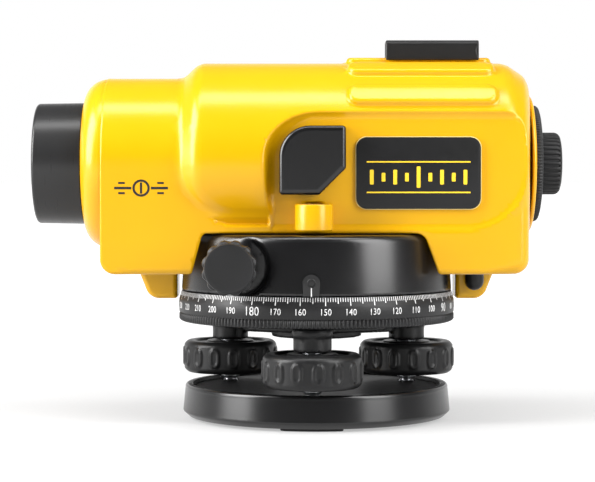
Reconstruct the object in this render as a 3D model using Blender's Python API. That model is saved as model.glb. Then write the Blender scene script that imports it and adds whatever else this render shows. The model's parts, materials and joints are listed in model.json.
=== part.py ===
"""Automatic level: a telescope with a pendulum compensator on a rotating base, a circle and three foot screws.

Dimensions are in millimetres. X and Y are measured from the vertical axis, and Z from a level PAD_DROP above
the pads' underside. The objective looks along -X and the eyepiece is at +X. place() turns millimetres into
metres in the object's frame.
"""
import math

import bmesh
import bpy
from mathutils import Vector

MM = 0.001
AXIS_X = 7.3  # the vertical axis stands this far behind the origin, which is under the middle of the length
PAD_DROP = 1.8  # the pads reach this far below the level that heights are measured from
GAP = 0.3  # clearance between pieces that touch

# Telescope
SIGHT_Z = 102.3
HOOD_FRONT_X = -114.3
HOOD_BACK_X = -94.8
HOOD_R = 24.6
NOSE_FRONT_X = -94.5
HOUSING_FRONT_X = -85.8
HOUSING_BACK_X = 85.8
FRONT_R = 34.8
DRUM_R = 41.0
DRUM_FRONT_X = -46.0
DRUM_RAMP = 8.5
FLAT_Y = 35.4
FLAT_FRONT_X = -22.5
RECESS_Y = 34.6  # the flats on the drum's sides are sunk to here
RECESS_Z = (76.4, 122.0)
SKIRT_Y = 34.8
SKIRT_Z = 58.3
WALL = 2.8
CUTOUT_TOP_Z = 74.6
BARREL_R = 22.0
BARREL_BORE_R = 20.0

# Focusing: a rack on the lens carriage and a pinion on the knob's shaft
FOCUS_X = -34.0
RACK_MODULE = 0.6
PINION_TEETH = 10
PINION_R = RACK_MODULE * PINION_TEETH / 2
FOCUS_KNOB_R = 17.0

# Compensator: a frame round a pendulum that hangs on two tapes, between two fixed prisms
PIVOT = (6.0, 0.0, 115.0)
PENDULUM_X = (-2.0, 14.0)
PENDULUM_Z = (91.0, 113.0)
TAPE_Z = (113.3, 117.7)
TAPE_WIDTH = 4.0
FIXED_PRISM_X = {"front": -7.5, "rear": 15.2}
FIXED_PRISM_LENGTH = 4.3

# Eyepiece
COLLAR_R = 27.9
COLLAR_X = (86.1, 87.5)
COVER_R = 23.8
COVER_FRONT_X = 87.8
COVER_DEPTH = 2.8
DIOPTER_R = 12.7
DIOPTER_FRONT_X = 90.9
EYE_END_X = 99.7

# Bell, circle and fine-motion drive
BELL_R = 56.2
BELL_Z = 50.8
BELL_TOP_Z = 74.0
BELL_TOP_R = 46.4
CIRCLE_R = 56.4
CIRCLE_Z = 38.2
DRIVE_X = -33.8
DRIVE_Z = 61.9
DRIVE_KNOB_Y = (48.0, 65.0)
DRIVE_KNOB_R = 10.9
DRIVE_BOSS_R = 6.4
POCKET_X = DRIVE_X + 3.0  # the bell is scooped out round the knob
POCKET_R = 11.6
SPINDLE_R = 7.9
SLEEVE_R = (8.4, 12.4)
GEAR_R = 29.9
GEAR_Z = (57.8, 64.8)

# Tribrach, foot screws and foot
PLATE_Z = (34.8, 37.8)
PLATE_R = 31.0
ARM_HALF_WIDTH = 7.6
HUB_R = 18.5
COLUMN_R = 20.0
SCREW_RADIUS = 43.0
SCREWS = {"front": -92.6, "rear_left": 147.4, "rear_right": 27.4}
BALL_Z = 8.1
BALL_R = 4.2
STEM_R = 4.1
SCREW_BORE_R = 5.3
KNOB_R = 20.05
KNOB_Z = (14.6, 28.0)
BOSS_R = 7.5
BOSS_Z = 28.5
FOOT_R = 54.8
FOOT_Z = (-0.8, 12.3)
FOOT_FLOOR_Z = 9.9
THREAD_R = 7.15

# Circular vial and its viewing prism
VIAL = (-1.4, -40.5)
VIAL_BOSS_R = 7.4

# Compensator check button, in the rear lug
BUTTON = (64.8, -2.5, 0)
BUTTON_R = 3.85
LUG_Y = (2.0, 20.0)

COLOURS = {  # red, green, blue, roughness, metallic, alpha
    "yellow_enamel": (0.93, 0.60, 0.01, 0.38, 0.0, 1.0),
    "black_plastic": (0.028, 0.028, 0.030, 0.45, 0.0, 1.0),
    "black_gloss": (0.015, 0.015, 0.016, 0.16, 0.0, 1.0),
    "black_anodised": (0.02, 0.02, 0.022, 0.40, 0.6, 1.0),
    "grey_plastic": (0.075, 0.075, 0.078, 0.50, 0.0, 1.0),
    "cast_aluminium": (0.45, 0.46, 0.47, 0.50, 0.8, 1.0),
    "steel": (0.55, 0.56, 0.58, 0.28, 1.0, 1.0),
    "brass": (0.72, 0.52, 0.20, 0.30, 1.0, 1.0),
    "optical_glass": (0.80, 0.88, 0.86, 0.03, 0.0, 0.35),
    "magnet": (0.20, 0.20, 0.21, 0.35, 0.9, 1.0),
}


def clear_scene():
    for obj in list(bpy.data.objects):
        bpy.data.objects.remove(obj, do_unlink=True)


def make_material(name):
    red, green, blue, roughness, metallic, alpha = COLOURS[name]
    material = bpy.data.materials.new(name)
    material.use_nodes = True
    shader = material.node_tree.nodes["Principled BSDF"]
    shader.inputs["Base Color"].default_value = (red, green, blue, 1.0)
    shader.inputs["Roughness"].default_value = roughness
    shader.inputs["Metallic"].default_value = metallic
    shader.inputs["Alpha"].default_value = alpha
    material.diffuse_color = (red, green, blue, alpha)
    return material


def place(x, y, z):
    """Millimetres from the vertical axis to metres in the object's frame."""
    return Vector(((x + AXIS_X) * MM, y * MM, (z + PAD_DROP) * MM))


def solid(bm):
    """A closed bmesh as an object with its faces pointing out."""
    bmesh.ops.recalc_face_normals(bm, faces=bm.faces)
    mesh = bpy.data.meshes.new("solid")
    bm.to_mesh(mesh)
    bm.free()
    obj = bpy.data.objects.new("solid", mesh)
    bpy.context.scene.collection.objects.link(obj)
    return obj


def on_axis(axis, centre, radius, angle, along):
    """Point at a radius and angle round an axis through centre, and this far along it."""
    across, up = radius * math.cos(angle), radius * math.sin(angle)
    x, y, z = centre
    if axis == "X":
        return place(along, y + across, z + up)
    if axis == "Y":
        return place(x + across, along, z + up)
    return place(x + across, y + up, along)


def turned(profile, axis="Z", centre=(0, 0, 0), sides=32):
    """Solid of revolution from a loop of (radius, position[, depth of the groove at every other side])."""
    bm = bmesh.new()
    rings = []
    for radius, along, *groove in profile:
        depth = groove[0] if groove else 0.0
        count = sides if radius > 0 else 1
        turn = [2 * math.pi * k / count for k in range(count)]
        points = [
            on_axis(axis, centre, radius - depth * (k % 2), angle, along)
            for k, angle in enumerate(turn)
        ]
        rings.append([bm.verts.new(point) for point in points])
    for low, high in zip(rings, rings[1:] + rings[:1]):
        if len(low) == len(high) == 1:
            continue
        for k in range(sides):
            after = k + 1
            loop = [low[k % len(low)], low[after % len(low)], high[after % len(high)], high[k % len(high)]]
            bm.faces.new(list(dict.fromkeys(loop)))
    return solid(bm)


def rod(radius, low, high, axis="Z", centre=(0, 0, 0), sides=24):
    return turned([(0, low), (radius, low), (radius, high), (0, high)], axis, centre, sides)


def tube(bore, radius, low, high, axis="Z", centre=(0, 0, 0), sides=24):
    loop = [(bore, low), (radius, low), (radius, high), (bore, high)]
    return turned(loop, axis, centre, sides)


def lofted(sections):
    """Closed solid through loops of points that all have the same number of points."""
    bm = bmesh.new()
    loops = [[bm.verts.new(place(*point)) for point in section] for section in sections]
    sides = []
    for first, second in zip(loops, loops[1:]):
        for k in range(len(first)):
            after = (k + 1) % len(first)
            sides.append(bm.faces.new((first[k], first[after], second[after], second[k])))
    bmesh.ops.triangulate(bm, faces=sides)
    bm.faces.new(loops[0])
    bm.faces.new(loops[-1])
    return solid(bm)


def prism(outline, low, high, along="Y"):
    """Straight extrusion of an outline: (x, z) along Y, (y, z) along X or (x, y) along Z."""
    place_at = {
        "X": lambda u, v, w: (w, u, v),
        "Y": lambda u, v, w: (u, w, v),
        "Z": lambda u, v, w: (u, v, w),
    }[along]
    return lofted([[place_at(u, v, w) for u, v in outline] for w in (low, high)])


def block(x, y, z):
    return prism([(x[0], z[0]), (x[1], z[0]), (x[1], z[1]), (x[0], z[1])], *y)


def arc(centre, radius, start, end, steps):
    """Points on an arc, angles in degrees, ends included."""
    turns = [math.radians(start + (end - start) * k / steps) for k in range(steps + 1)]
    return [(centre[0] + radius * math.cos(t), centre[1] + radius * math.sin(t)) for t in turns]


def rounded(x, z, radius, steps=3):
    """Rectangle outline with round corners, anticlockwise from the lower left."""
    corners = [(x[0], z[0], 180), (x[1], z[0], 270), (x[1], z[1], 0), (x[0], z[1], 90)]
    points = []
    for corner_x, corner_z, start in corners:
        centre_x = corner_x + (radius if corner_x == x[0] else -radius)
        centre_z = corner_z + (radius if corner_z == z[0] else -radius)
        points += arc((centre_x, centre_z), radius, start, start + 90, steps)
    return points


def combine(base, tools, operation):
    """Joins tools to base or cuts them from it, and drops the tools."""
    for tool in tools:
        modifier = base.modifiers.new("shape", "BOOLEAN")
        modifier.solver = "EXACT"
        modifier.operation = operation
        modifier.object = tool
    bpy.context.view_layer.update()
    graph = bpy.context.evaluated_depsgraph_get()
    base.data = bpy.data.meshes.new_from_object(base.evaluated_get(graph))
    base.modifiers.clear()
    for tool in tools:
        bpy.data.objects.remove(tool, do_unlink=True)
    return base


def join(base, *tools):
    return combine(base, tools, "UNION")


def cut(base, *tools):
    return combine(base, tools, "DIFFERENCE")


def piece(name, obj, material, origin=(0, 0, 0)):
    """Names a finished piece, with its own material and its origin on its joint's axis."""
    origin = place(*origin)
    obj.name = name
    obj.data.name = name
    obj.data.transform(obj.matrix_world.Translation(-origin))
    obj.location = origin
    obj.data.materials.clear()
    obj.data.materials.append(make_material(material))
    obj.data.materials[0].name = name + "_" + material
    obj.data.shade_smooth()
    obj.data.set_sharp_from_angle(angle=math.radians(32))
    return obj


def screw_spot(name):
    angle = math.radians(SCREWS[name])
    return SCREW_RADIUS * math.cos(angle), SCREW_RADIUS * math.sin(angle)


# ---------------------------------------------------------------- foot


def make_foot_plate():
    low, high = FOOT_Z
    rim = [
        (10.3, low), (FOOT_R - 2.2, low), (FOOT_R, low + 2.0), (FOOT_R - 0.9, high - 0.7),
        (FOOT_R - 1.6, high), (FOOT_R - 4.2, high), (FOOT_R - 4.6, FOOT_FLOOR_Z), (10.3, FOOT_FLOOR_Z),
    ]
    plate = turned(rim, sides=48)
    pads = []
    for angle in SCREWS.values():
        outer = arc((0, 0), FOOT_R - 2.6, angle - 14, angle + 14, 4)
        inner = arc((0, 0), FOOT_R - 14, angle + 14, angle - 14, 2)
        pads.append(prism(outer + inner, -PAD_DROP, low + 0.4, "Z"))
    join(plate, *pads)
    sockets = []
    for name in SCREWS:
        x, y = screw_spot(name)
        sockets.append(rod(BALL_R + 0.4, BALL_Z - BALL_R - GAP, high + 1, centre=(x, y, 0), sides=16))
    piece("foot_plate", cut(plate, *sockets), "black_gloss")
    bush = tube(THREAD_R, 10.0, low, FOOT_FLOOR_Z, sides=20)
    piece("tripod_thread_bush", bush, "brass")


def make_retaining_plate():
    low = FOOT_FLOOR_Z + GAP
    disc = tube(14.0, FOOT_R - 5.4, low, low + 0.8, sides=32)
    holes = []
    for name in SCREWS:
        x, y = screw_spot(name)
        holes.append(rod(BALL_R - 0.25, low - 1, low + 2, centre=(x, y, 0), sides=16))
    piece("ball_retaining_plate", cut(disc, *holes), "black_plastic")


def make_foot_screw(name):
    x, y = screw_spot(name)
    ball = arc((0, BALL_Z), BALL_R, -90, 40, 4)
    ball[0] = (0, BALL_Z - BALL_R)
    shaft = [(2.8, 11.3), (2.8, 11.7), (STEM_R, 12.4), (STEM_R, 34.0), (STEM_R - 0.5, 34.5), (0, 34.5)]
    stem = turned(ball + shaft, centre=(x, y, 0), sides=12)
    piece("foot_screw_" + name, stem, "steel", (x, y, BALL_Z))
    low, high = KNOB_Z
    grip = [
        (SCREW_BORE_R, low), (KNOB_R - 2.4, low), (KNOB_R, low + 2.4, 0.8),
        (KNOB_R, high - 2.4, 0.8), (KNOB_R - 2.4, high), (SCREW_BORE_R, high),
    ]
    knob = turned(grip, centre=(x, y, 0), sides=32)
    piece("foot_screw_knob_" + name, knob, "black_plastic", (x, y, 0))


# ---------------------------------------------------------------- tribrach


def make_tribrach():
    bottom = PLATE_Z[0] - 3.4
    section = [
        (14.3, bottom), (HUB_R, bottom), (HUB_R, PLATE_Z[0]), (PLATE_R, PLATE_Z[0]), (PLATE_R, PLATE_Z[1]),
        (COLUMN_R, PLATE_Z[1]), (COLUMN_R, 57.5), (12.7, 57.5), (12.7, 36.2), (14.3, 36.2),
    ]
    frame = turned(section, sides=32)
    bosses = []
    bores = []
    for name in SCREWS:
        x, y = screw_spot(name)
        bosses.append(rod(BOSS_R, BOSS_Z, PLATE_Z[0] + 1, centre=(x, y, 0), sides=20))
        ahead, aside = Vector((x, y)) / SCREW_RADIUS, Vector((-y, x)) / SCREW_RADIUS * ARM_HALF_WIDTH
        arm = [ahead * 24.0 - aside, ahead * 50.0 - aside, ahead * 50.0 + aside, ahead * 24.0 + aside]
        bosses.append(prism([tuple(point) for point in arm], PLATE_Z[0] + 0.1, PLATE_Z[1] - 0.1, "Z"))
        bores.append(rod(SCREW_BORE_R, BOSS_Z - 1, PLATE_Z[1] - 0.8, centre=(x, y, 0), sides=16))
    join(frame, *bosses)
    piece("tribrach", cut(frame, *bores), "black_plastic", (*screw_spot("rear_left"), BALL_Z))
    sleeve = tube(*SLEEVE_R, 36.5, 66.5, sides=20)
    piece("bearing_sleeve", sleeve, "brass")
    bore = SLEEVE_R[1] + 0.4
    teeth = [(bore, GEAR_Z[0]), (GEAR_R, GEAR_Z[0], 0.8), (GEAR_R, GEAR_Z[1], 0.8), (bore, GEAR_Z[1])]
    piece("drive_gear", turned(teeth, sides=48), "brass")


def make_circle():
    top = BELL_Z - GAP
    rim = [
        (52.0, CIRCLE_Z), (CIRCLE_R - 0.7, CIRCLE_Z), (CIRCLE_R, CIRCLE_Z + 0.8), (CIRCLE_R, top - 0.9),
        (CIRCLE_R - 0.9, top), (COLUMN_R + 0.4, top), (COLUMN_R + 0.4, top - 3.0), (52.0, top - 3.0),
    ]
    piece("horizontal_circle", turned(rim, sides=48), "grey_plastic")


# ---------------------------------------------------------------- alidade base


def make_bell():
    shell = [
        (53.2, BELL_Z), (BELL_R, BELL_Z), (BELL_R, 57.6), (BELL_TOP_R + 2.0, BELL_TOP_Z - 1.8),
        (BELL_TOP_R, BELL_TOP_Z), (9.0, BELL_TOP_Z), (9.0, BELL_TOP_Z - 3.0),
        (BELL_TOP_R - 1.8, BELL_TOP_Z - 3.0), (53.2, 57.0),
    ]
    bell = turned(shell, sides=48)
    spot = (DRIVE_X, 0, DRIVE_Z)
    pocket_spot = (POCKET_X, 0, DRIVE_Z)
    backings = []
    bosses = []
    pockets = []
    for side in (-1, 1):
        backing = rod(POCKET_R + 2.0, *sorted((side * 42.0, side * 58.0)), "Y", pocket_spot, sides=20)
        form = turned([(0, BELL_Z)] + shell[1:5] + [(0, BELL_TOP_Z)], sides=48)
        backings.append(combine(backing, [form], "INTERSECT"))
        bosses.append(rod(DRIVE_BOSS_R, *sorted((side * 34.0, side * 47.7)), "Y", spot, sides=16))
        pockets.append(rod(POCKET_R, *sorted((side * 45.6, side * 60.0)), "Y", pocket_spot, sides=20))
    join(bell, *backings)
    cut(bell, *pockets)
    join(bell, *bosses)
    shaft_bore = rod(3.4, -60, 60, "Y", spot, sides=12)
    piece("bell", cut(bell, shaft_bore), "black_gloss")
    outline = [(-5.9, BELL_Z), (0.9, BELL_Z)] + arc((-2.5, 56.0), 3.4, 0, 180, 6)
    piece("circle_index", prism(outline, -57.7, -BELL_R - GAP), "black_plastic")


def make_spindle():
    section = [
        (0, 31.8), (5.0, 31.8), (5.0, 36.3), (SPINDLE_R, 36.3), (SPINDLE_R, 67.5),
        (20.0, 67.5), (20.0, 70.7), (8.6, 70.7), (8.6, 77.3), (0, 77.3),
    ]
    piece("spindle", turned(section, sides=20), "steel")
    piece("spindle_nut", tube(5.3, 13.5, 31.9, 35.8, sides=12), "steel")


def make_drive():
    spot = (DRIVE_X, 0, DRIVE_Z)
    half = [(2.8, 46.0), (2.8, 12.0), (3.3, 12.0)]
    worm = []
    for k in range(7):
        worm += [(3.3, 10.5 - 3.5 * k), (2.5, 8.75 - 3.5 * k)]
    other = [(3.3, -12.0), (2.8, -12.0), (2.8, -46.0)]
    ends = [(0, DRIVE_KNOB_Y[1] - 3.0), (2.0, DRIVE_KNOB_Y[1] - 3.0), (2.0, 46.0)]
    far_ends = [(2.0, -46.0), (2.0, 3.0 - DRIVE_KNOB_Y[1]), (0, 3.0 - DRIVE_KNOB_Y[1])]
    shaft = turned(ends + half + worm[:-1] + other + far_ends, "Y", spot, sides=12)
    piece("drive_shaft", shaft, "steel", spot)
    for name, side in (("near", -1), ("far", 1)):
        inner, outer = DRIVE_KNOB_Y
        inner += 0.2
        scallops = [
            (2.3, side * inner), (DRIVE_KNOB_R - 3.0, side * inner), (DRIVE_KNOB_R, side * (inner + 3.0), 1.3),
            (DRIVE_KNOB_R, side * (outer - 1.5), 1.3), (DRIVE_KNOB_R - 1.6, side * outer), (0, side * outer),
            (0, side * (outer - 2.5)), (2.3, side * (outer - 2.5)),
        ]
        piece("drive_knob_" + name, turned(scallops, "Y", spot, sides=24), "grey_plastic", spot)


# ---------------------------------------------------------------- housing


def arch(x, radius, half_width, flat, bottom, count=26):
    """Section of the housing at x: a round top cut flat at the sides, on a straight skirt."""
    points = [(x, half_width, bottom)]
    low = -36.0
    for k in range(count + 1):
        turn = math.radians(low + (180 - 2 * low) * k / count)
        y = radius * math.cos(turn)
        if math.sin(turn) < 0:
            y = math.copysign(max(abs(y), half_width), y)
        y = max(-flat, min(flat, y))
        points.append((x, y, SIGHT_Z + radius * math.sin(turn)))
    points.append((x, -half_width, bottom))
    return points


def housing_sections():
    ramp = DRUM_FRONT_X - DRUM_RAMP
    wide = DRUM_R + 1
    front = [
        (HOUSING_FRONT_X, FRONT_R - 0.3, wide, SKIRT_Z + 6.0),
        (HOUSING_FRONT_X + 1.8, FRONT_R, wide, SKIRT_Z + 1.8),
        (HOUSING_FRONT_X + 6.0, FRONT_R, wide, SKIRT_Z),
        (ramp, FRONT_R, wide, SKIRT_Z),
        (ramp + 1.5, FRONT_R + 0.6, wide, SKIRT_Z),
        (DRUM_FRONT_X - 1.5, DRUM_R - 0.6, wide, SKIRT_Z),
        (DRUM_FRONT_X, DRUM_R, wide, SKIRT_Z),
        (FLAT_FRONT_X - 0.8, DRUM_R, wide, SKIRT_Z),
        (FLAT_FRONT_X, DRUM_R, FLAT_Y, SKIRT_Z),
    ]
    back = []
    for k in range(5):
        turn = math.radians(90 - 22.5 * k)
        drop = 8.0 * (1 - math.sin(turn))
        x = HOUSING_BACK_X - 8.0 + 8.0 * math.cos(turn)
        back.append((x, DRUM_R - drop, FLAT_Y, SKIRT_Z + 0.6 * drop))
    sections = []
    for x, radius, flat, bottom in front + back:
        half_width = min(SKIRT_Y, radius)
        sections.append(arch(x, radius, half_width, flat, bottom))
    return sections


def cavity_sections():
    half_width = SKIRT_Y - WALL
    steps = [
        (HOUSING_FRONT_X + WALL, FRONT_R - WALL, DRUM_R),
        (DRUM_FRONT_X - DRUM_RAMP + 1.5, FRONT_R - WALL, DRUM_R),
        (DRUM_FRONT_X + 2.0, DRUM_R - WALL, DRUM_R),
        (FLAT_FRONT_X - WALL, DRUM_R - WALL, DRUM_R),
        (FLAT_FRONT_X - WALL + 0.8, DRUM_R - WALL, FLAT_Y - WALL),
        (HOUSING_BACK_X - 9.0, DRUM_R - WALL, FLAT_Y - WALL),
        (HOUSING_BACK_X - WALL - 0.6, DRUM_R - WALL - 6.0, FLAT_Y - WALL),
    ]
    return [arch(x, r, min(half_width, r), flat, SKIRT_Z - 5, 18) for x, r, flat in steps]


def make_rib(centre_angle, half_angle):
    """Grip rib along the top of the drum, with sloped ends."""
    sections = []
    for x, radius in ((12.2, DRUM_R + 0.2), (14.8, DRUM_R + 2.4), (69.6, DRUM_R + 2.4), (72.2, DRUM_R + 0.2)):
        start, end = centre_angle - half_angle, centre_angle + half_angle
        outline = arc((0, SIGHT_Z), radius, start, end, 3) + arc((0, SIGHT_Z), DRUM_R - 1.2, end, start, 3)
        sections.append([(x, y, z) for y, z in outline])
    return lofted(sections)


def side_recess(side):
    """Cutter for the sunken part of a flat, with a large round lower rear corner."""
    low, high = RECESS_Z
    outline = [(FLAT_FRONT_X + 1.2, low)] + arc((64.0, low + 16.0), 16.0, -90, 0, 4)
    outline += [(80.0, high), (FLAT_FRONT_X + 1.2, high)]
    return prism(outline, *sorted((side * RECESS_Y, side * (DRUM_R + 5.0))))


def make_housing():
    housing = lofted(housing_sections())
    ribs = [make_rib(90 + angle, 8 if angle else 6) for angle in (-49, -24, 0, 24, 49)]
    vial_boss = rod(VIAL_BOSS_R, 75.6, 86.0, centre=(*VIAL, 0), sides=20)
    knob_boss = rod(9.0, 36.0, 42.6, "Y", (FOCUS_X, 0, SIGHT_Z), sides=20)
    cut(housing, side_recess(-1), side_recess(1))
    join(housing, *ribs, vial_boss, knob_boss)
    cut(housing, lofted(cavity_sections()))
    over_bell = [
        (-50.4, SKIRT_Z - 2), (-45.6, CUTOUT_TOP_Z), (40.9, CUTOUT_TOP_Z), (47.4, SKIRT_Z - 2),
    ]
    tools = [
        prism(over_bell, -60, 60),
        rod(BARREL_R + 0.5, HOUSING_FRONT_X - 1, HOUSING_FRONT_X + 8, "X", (0, 0, SIGHT_Z)),
        rod(12.1, HOUSING_BACK_X - 8, HOUSING_BACK_X + 1, "X", (0, 0, SIGHT_Z)),
        rod(6.6, 77.2, 89.4, centre=(*VIAL, 0), sides=20),
        rod(3.0, 30.0, 50.0, "Y", (FOCUS_X, 0, SIGHT_Z), sides=16),
    ]
    piece("housing", cut(housing, *tools), "yellow_enamel")


def make_chassis():
    top = BELL_TOP_Z + 3.6
    plate = prism(rounded((-79.0, 79.0), (-31.2, 31.2), 4.0, 2), top - 3.0, top, "Z")
    saddles = [block((x, x + 8.0), (-12.0, 12.0), (top - 1, SIGHT_Z - BARREL_R - GAP)) for x in (-76.0, -34.0)]
    join(plate, *saddles)
    spindle_hole = rod(9.0, top - 5, top + 2, sides=20)
    button_hole = rod(3.8, top - 5, top + 2, centre=BUTTON, sides=16)
    piece("chassis_plate", cut(plate, spindle_hole, button_hole), "cast_aluminium")
    for name, side in (("front", -1), ("rear", 1)):
        outline = [
            (57.4, 46.6), (67.0, 46.6), (69.2, 47.4), (70.2, 49.4), (73.5, 58.3), (73.5, 74.3), (57.4, 74.3),
        ]
        lug = prism([(side * x, z) for x, z in outline], *LUG_Y)
        piece("lug_" + name, lug, "yellow_enamel")


def make_check_button():
    section = [(0, 50.3), (2.4, 50.7), (BUTTON_R, 52.4), (BUTTON_R, 72.2), (3.4, 72.2), (3.4, 82.0), (0, 82.0)]
    piece("check_button", turned(section, centre=BUTTON, sides=16), "black_plastic", BUTTON)


# ---------------------------------------------------------------- telescope


def make_nose():
    axis = (0, 0, SIGHT_Z)
    face_r = HOOD_R + 0.3
    round_r = FRONT_R - 0.3 - face_r
    back = HOUSING_FRONT_X - GAP
    bore = BARREL_R + 0.5
    corner = arc((NOSE_FRONT_X + round_r - 0.5, face_r), round_r, 180, 90, 4)
    section = [(bore, NOSE_FRONT_X), (face_r, NOSE_FRONT_X)] + [(r, x) for x, r in corner[1:]]
    section[-1] = (FRONT_R - 0.3, back)
    section.append((bore, back))
    piece("nose_ring", turned(section, "X", axis, sides=32), "yellow_enamel")
    front, rear = HOOD_FRONT_X, HOOD_BACK_X
    hood = [
        (22.0, front + 0.9), (22.9, front), (HOOD_R - 1.1, front), (HOOD_R, front + 1.2), (HOOD_R - 0.2, rear),
        (19.0, rear), (19.0, rear - 2.0), (22.0, rear - 2.0),
    ]
    piece("objective_hood", turned(hood, "X", axis, sides=32), "black_anodised")


def make_objective():
    axis = (0, 0, SIGHT_Z)
    cell = [(19.9, -107.5), (21.6, -107.5), (21.6, -97.6), (18.0, -97.6), (18.0, -99.2), (19.9, -99.2)]
    piece("objective_cell", turned(cell, "X", axis, sides=24), "black_anodised")
    lens = [(0, -106.8), (11.0, -106.2), (19.4, -104.2), (19.4, -100.6), (0, -99.6)]
    piece("objective_lens", turned(lens, "X", axis, sides=24), "optical_glass")
    ring = tube(18.6, 21.4, -109.0, -107.8, "X", axis)
    piece("lens_retaining_ring", ring, "black_anodised")


def make_barrel():
    axis = (0, 0, SIGHT_Z)
    barrel = tube(BARREL_BORE_R, BARREL_R, NOSE_FRONT_X + 0.6, -18.0, "X", axis, 32)
    rack_slot = block((-58.0, -17.0), (10.0, 24.0), (SIGHT_Z - 4.3, SIGHT_Z + 6.3))
    piece("telescope_barrel", cut(barrel, rack_slot), "black_anodised")


def rack_outline():
    """Rack with its teeth down, symmetric about the pinion's middle, narrowed for backlash."""
    pitch = math.pi * RACK_MODULE
    line = SIGHT_Z + PINION_R
    tip, root = line - 0.45, line + 0.65
    points = [(FOCUS_X - 13.0, line + 3.2), (FOCUS_X - 13.0, root)]
    for k in range(-6, 7):
        middle = FOCUS_X + k * pitch
        points += [(middle - 0.62, root), (middle - 0.26, tip), (middle + 0.26, tip), (middle + 0.62, root)]
    return points + [(FOCUS_X + 13.0, root), (FOCUS_X + 13.0, line + 3.2)]


def pinion_outline():
    """Pinion with a gap between teeth straight up, narrowed for backlash."""
    points = []
    for k in range(PINION_TEETH):
        middle = math.radians(90) + 2 * math.pi * (k + 0.5) / PINION_TEETH
        for radius, offset in ((PINION_R - 0.7, -0.20), (PINION_R + 0.45, -0.07),
                               (PINION_R + 0.45, 0.07), (PINION_R - 0.7, 0.20)):
            turn = middle + offset
            points.append((FOCUS_X + radius * math.cos(turn), SIGHT_Z + radius * math.sin(turn)))
    return points


def make_focusing():
    axis = (0, 0, SIGHT_Z)
    spot = (FOCUS_X, 0, SIGHT_Z)
    carriage = tube(16.6, 19.3, FOCUS_X - 11, FOCUS_X + 11, "X", axis, 24)
    rack = prism(rack_outline(), 17.8, 22.6)
    piece("focus_carriage", join(carriage, rack), "black_anodised", spot)
    lens = [(0, FOCUS_X - 1.0), (16.2, FOCUS_X - 3.0), (16.2, FOCUS_X + 3.0), (0, FOCUS_X + 1.0)]
    piece("focusing_lens", turned(lens, "X", axis, sides=20), "optical_glass", spot)
    shaft = rod(2.6, 22.0, 56.0, "Y", spot, sides=12)
    piece("focus_shaft", join(shaft, prism(pinion_outline(), 19.8, 22.6)), "steel", spot)
    grip = [
        (2.9, 43.2), (FOCUS_KNOB_R - 1.6, 43.2), (FOCUS_KNOB_R, 44.8, 0.7), (FOCUS_KNOB_R, 54.6, 0.7),
        (FOCUS_KNOB_R - 1.8, 57.0), (0, 57.0), (0, 56.3), (2.9, 56.3),
    ]
    piece("focus_knob", turned(grip, "Y", spot, sides=32), "black_plastic", spot)


def make_compensator():
    frame = block((-8.0, 20.0), (-17.0, 17.0), (BELL_TOP_Z + 3.9, 122.0))
    window = block((-9.0, 21.0), (-13.5, 13.5), (88.0, 118.0))
    piece("compensator_frame", cut(frame, window), "cast_aluminium")
    pendulum = block(PENDULUM_X, (-11.0, 11.0), PENDULUM_Z)
    light_path = block((PENDULUM_X[0] - 1, PENDULUM_X[1] + 1), (-8.6, 8.6), (96.0, 109.0))
    piece("pendulum", cut(pendulum, light_path), "brass", PIVOT)
    prism_glass = block((0.0, 12.0), (-8.3, 8.3), (96.3, 108.7))
    piece("pendulum_prism", prism_glass, "optical_glass", PIVOT)
    for name, x in FIXED_PRISM_X.items():
        fixed = block((x, x + FIXED_PRISM_LENGTH), (-13.2, 13.2), (95.0, 110.0))
        piece("fixed_prism_" + name, fixed, "optical_glass")
    for name, y in (("near", -8.0), ("far", 4.0)):
        tape = block((PIVOT[0] - 0.2, PIVOT[0] + 0.2), (y, y + TAPE_WIDTH), TAPE_Z)
        piece("suspension_tape_" + name, tape, "steel")
    piece("damping_magnet", block((0.0, 12.0), (-6.0, 6.0), (88.3, 90.4)), "magnet")


def make_eyepiece():
    axis = (0, 0, SIGHT_Z)
    piece("eyepiece_tube", tube(10.0, 11.5, 44.0, DIOPTER_FRONT_X - GAP, "X", axis, 20), "black_anodised")
    piece("reticle_holder", tube(7.0, 9.6, 50.0, 56.0, "X", axis, 16), "brass")
    piece("reticle", rod(6.6, 52.0, 54.0, "X", axis, 16), "optical_glass")
    front, back = COLLAR_X
    collar = [(12.1, front), (COLLAR_R, front), (COLLAR_R, back - 0.6), (COLLAR_R - 0.6, back), (12.1, back)]
    piece("rear_collar", turned(collar, "X", axis, sides=32), "yellow_enamel")
    low = COVER_FRONT_X
    knurl = [
        (12.1, low), (COVER_R - 0.6, low), (COVER_R, low + 0.6, 0.4), (COVER_R, low + COVER_DEPTH - 0.6, 0.4),
        (COVER_R - 0.6, low + COVER_DEPTH), (12.1, low + COVER_DEPTH),
    ]
    piece("eyepiece_cover", turned(knurl, "X", axis, sides=48), "black_plastic")
    ribs = [
        (8.5, DIOPTER_FRONT_X), (DIOPTER_R - 0.5, DIOPTER_FRONT_X), (DIOPTER_R, DIOPTER_FRONT_X + 0.7, 0.5),
        (DIOPTER_R, EYE_END_X - 1.6, 0.5), (DIOPTER_R - 1.1, EYE_END_X), (8.5, EYE_END_X),
    ]
    piece("diopter_ring", turned(ribs, "X", axis, sides=24), "black_plastic", axis)
    piece("eye_lens_cell", tube(6.5, 8.0, 80.0, 98.2, "X", axis, 16), "black_anodised", axis)
    lens = [(0, 93.0), (6.2, 94.2), (6.2, 96.6), (0, 97.6)]
    piece("eye_lens", turned(lens, "X", axis, sides=16), "optical_glass", axis)


# ---------------------------------------------------------------- vial, sight and plate


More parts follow.
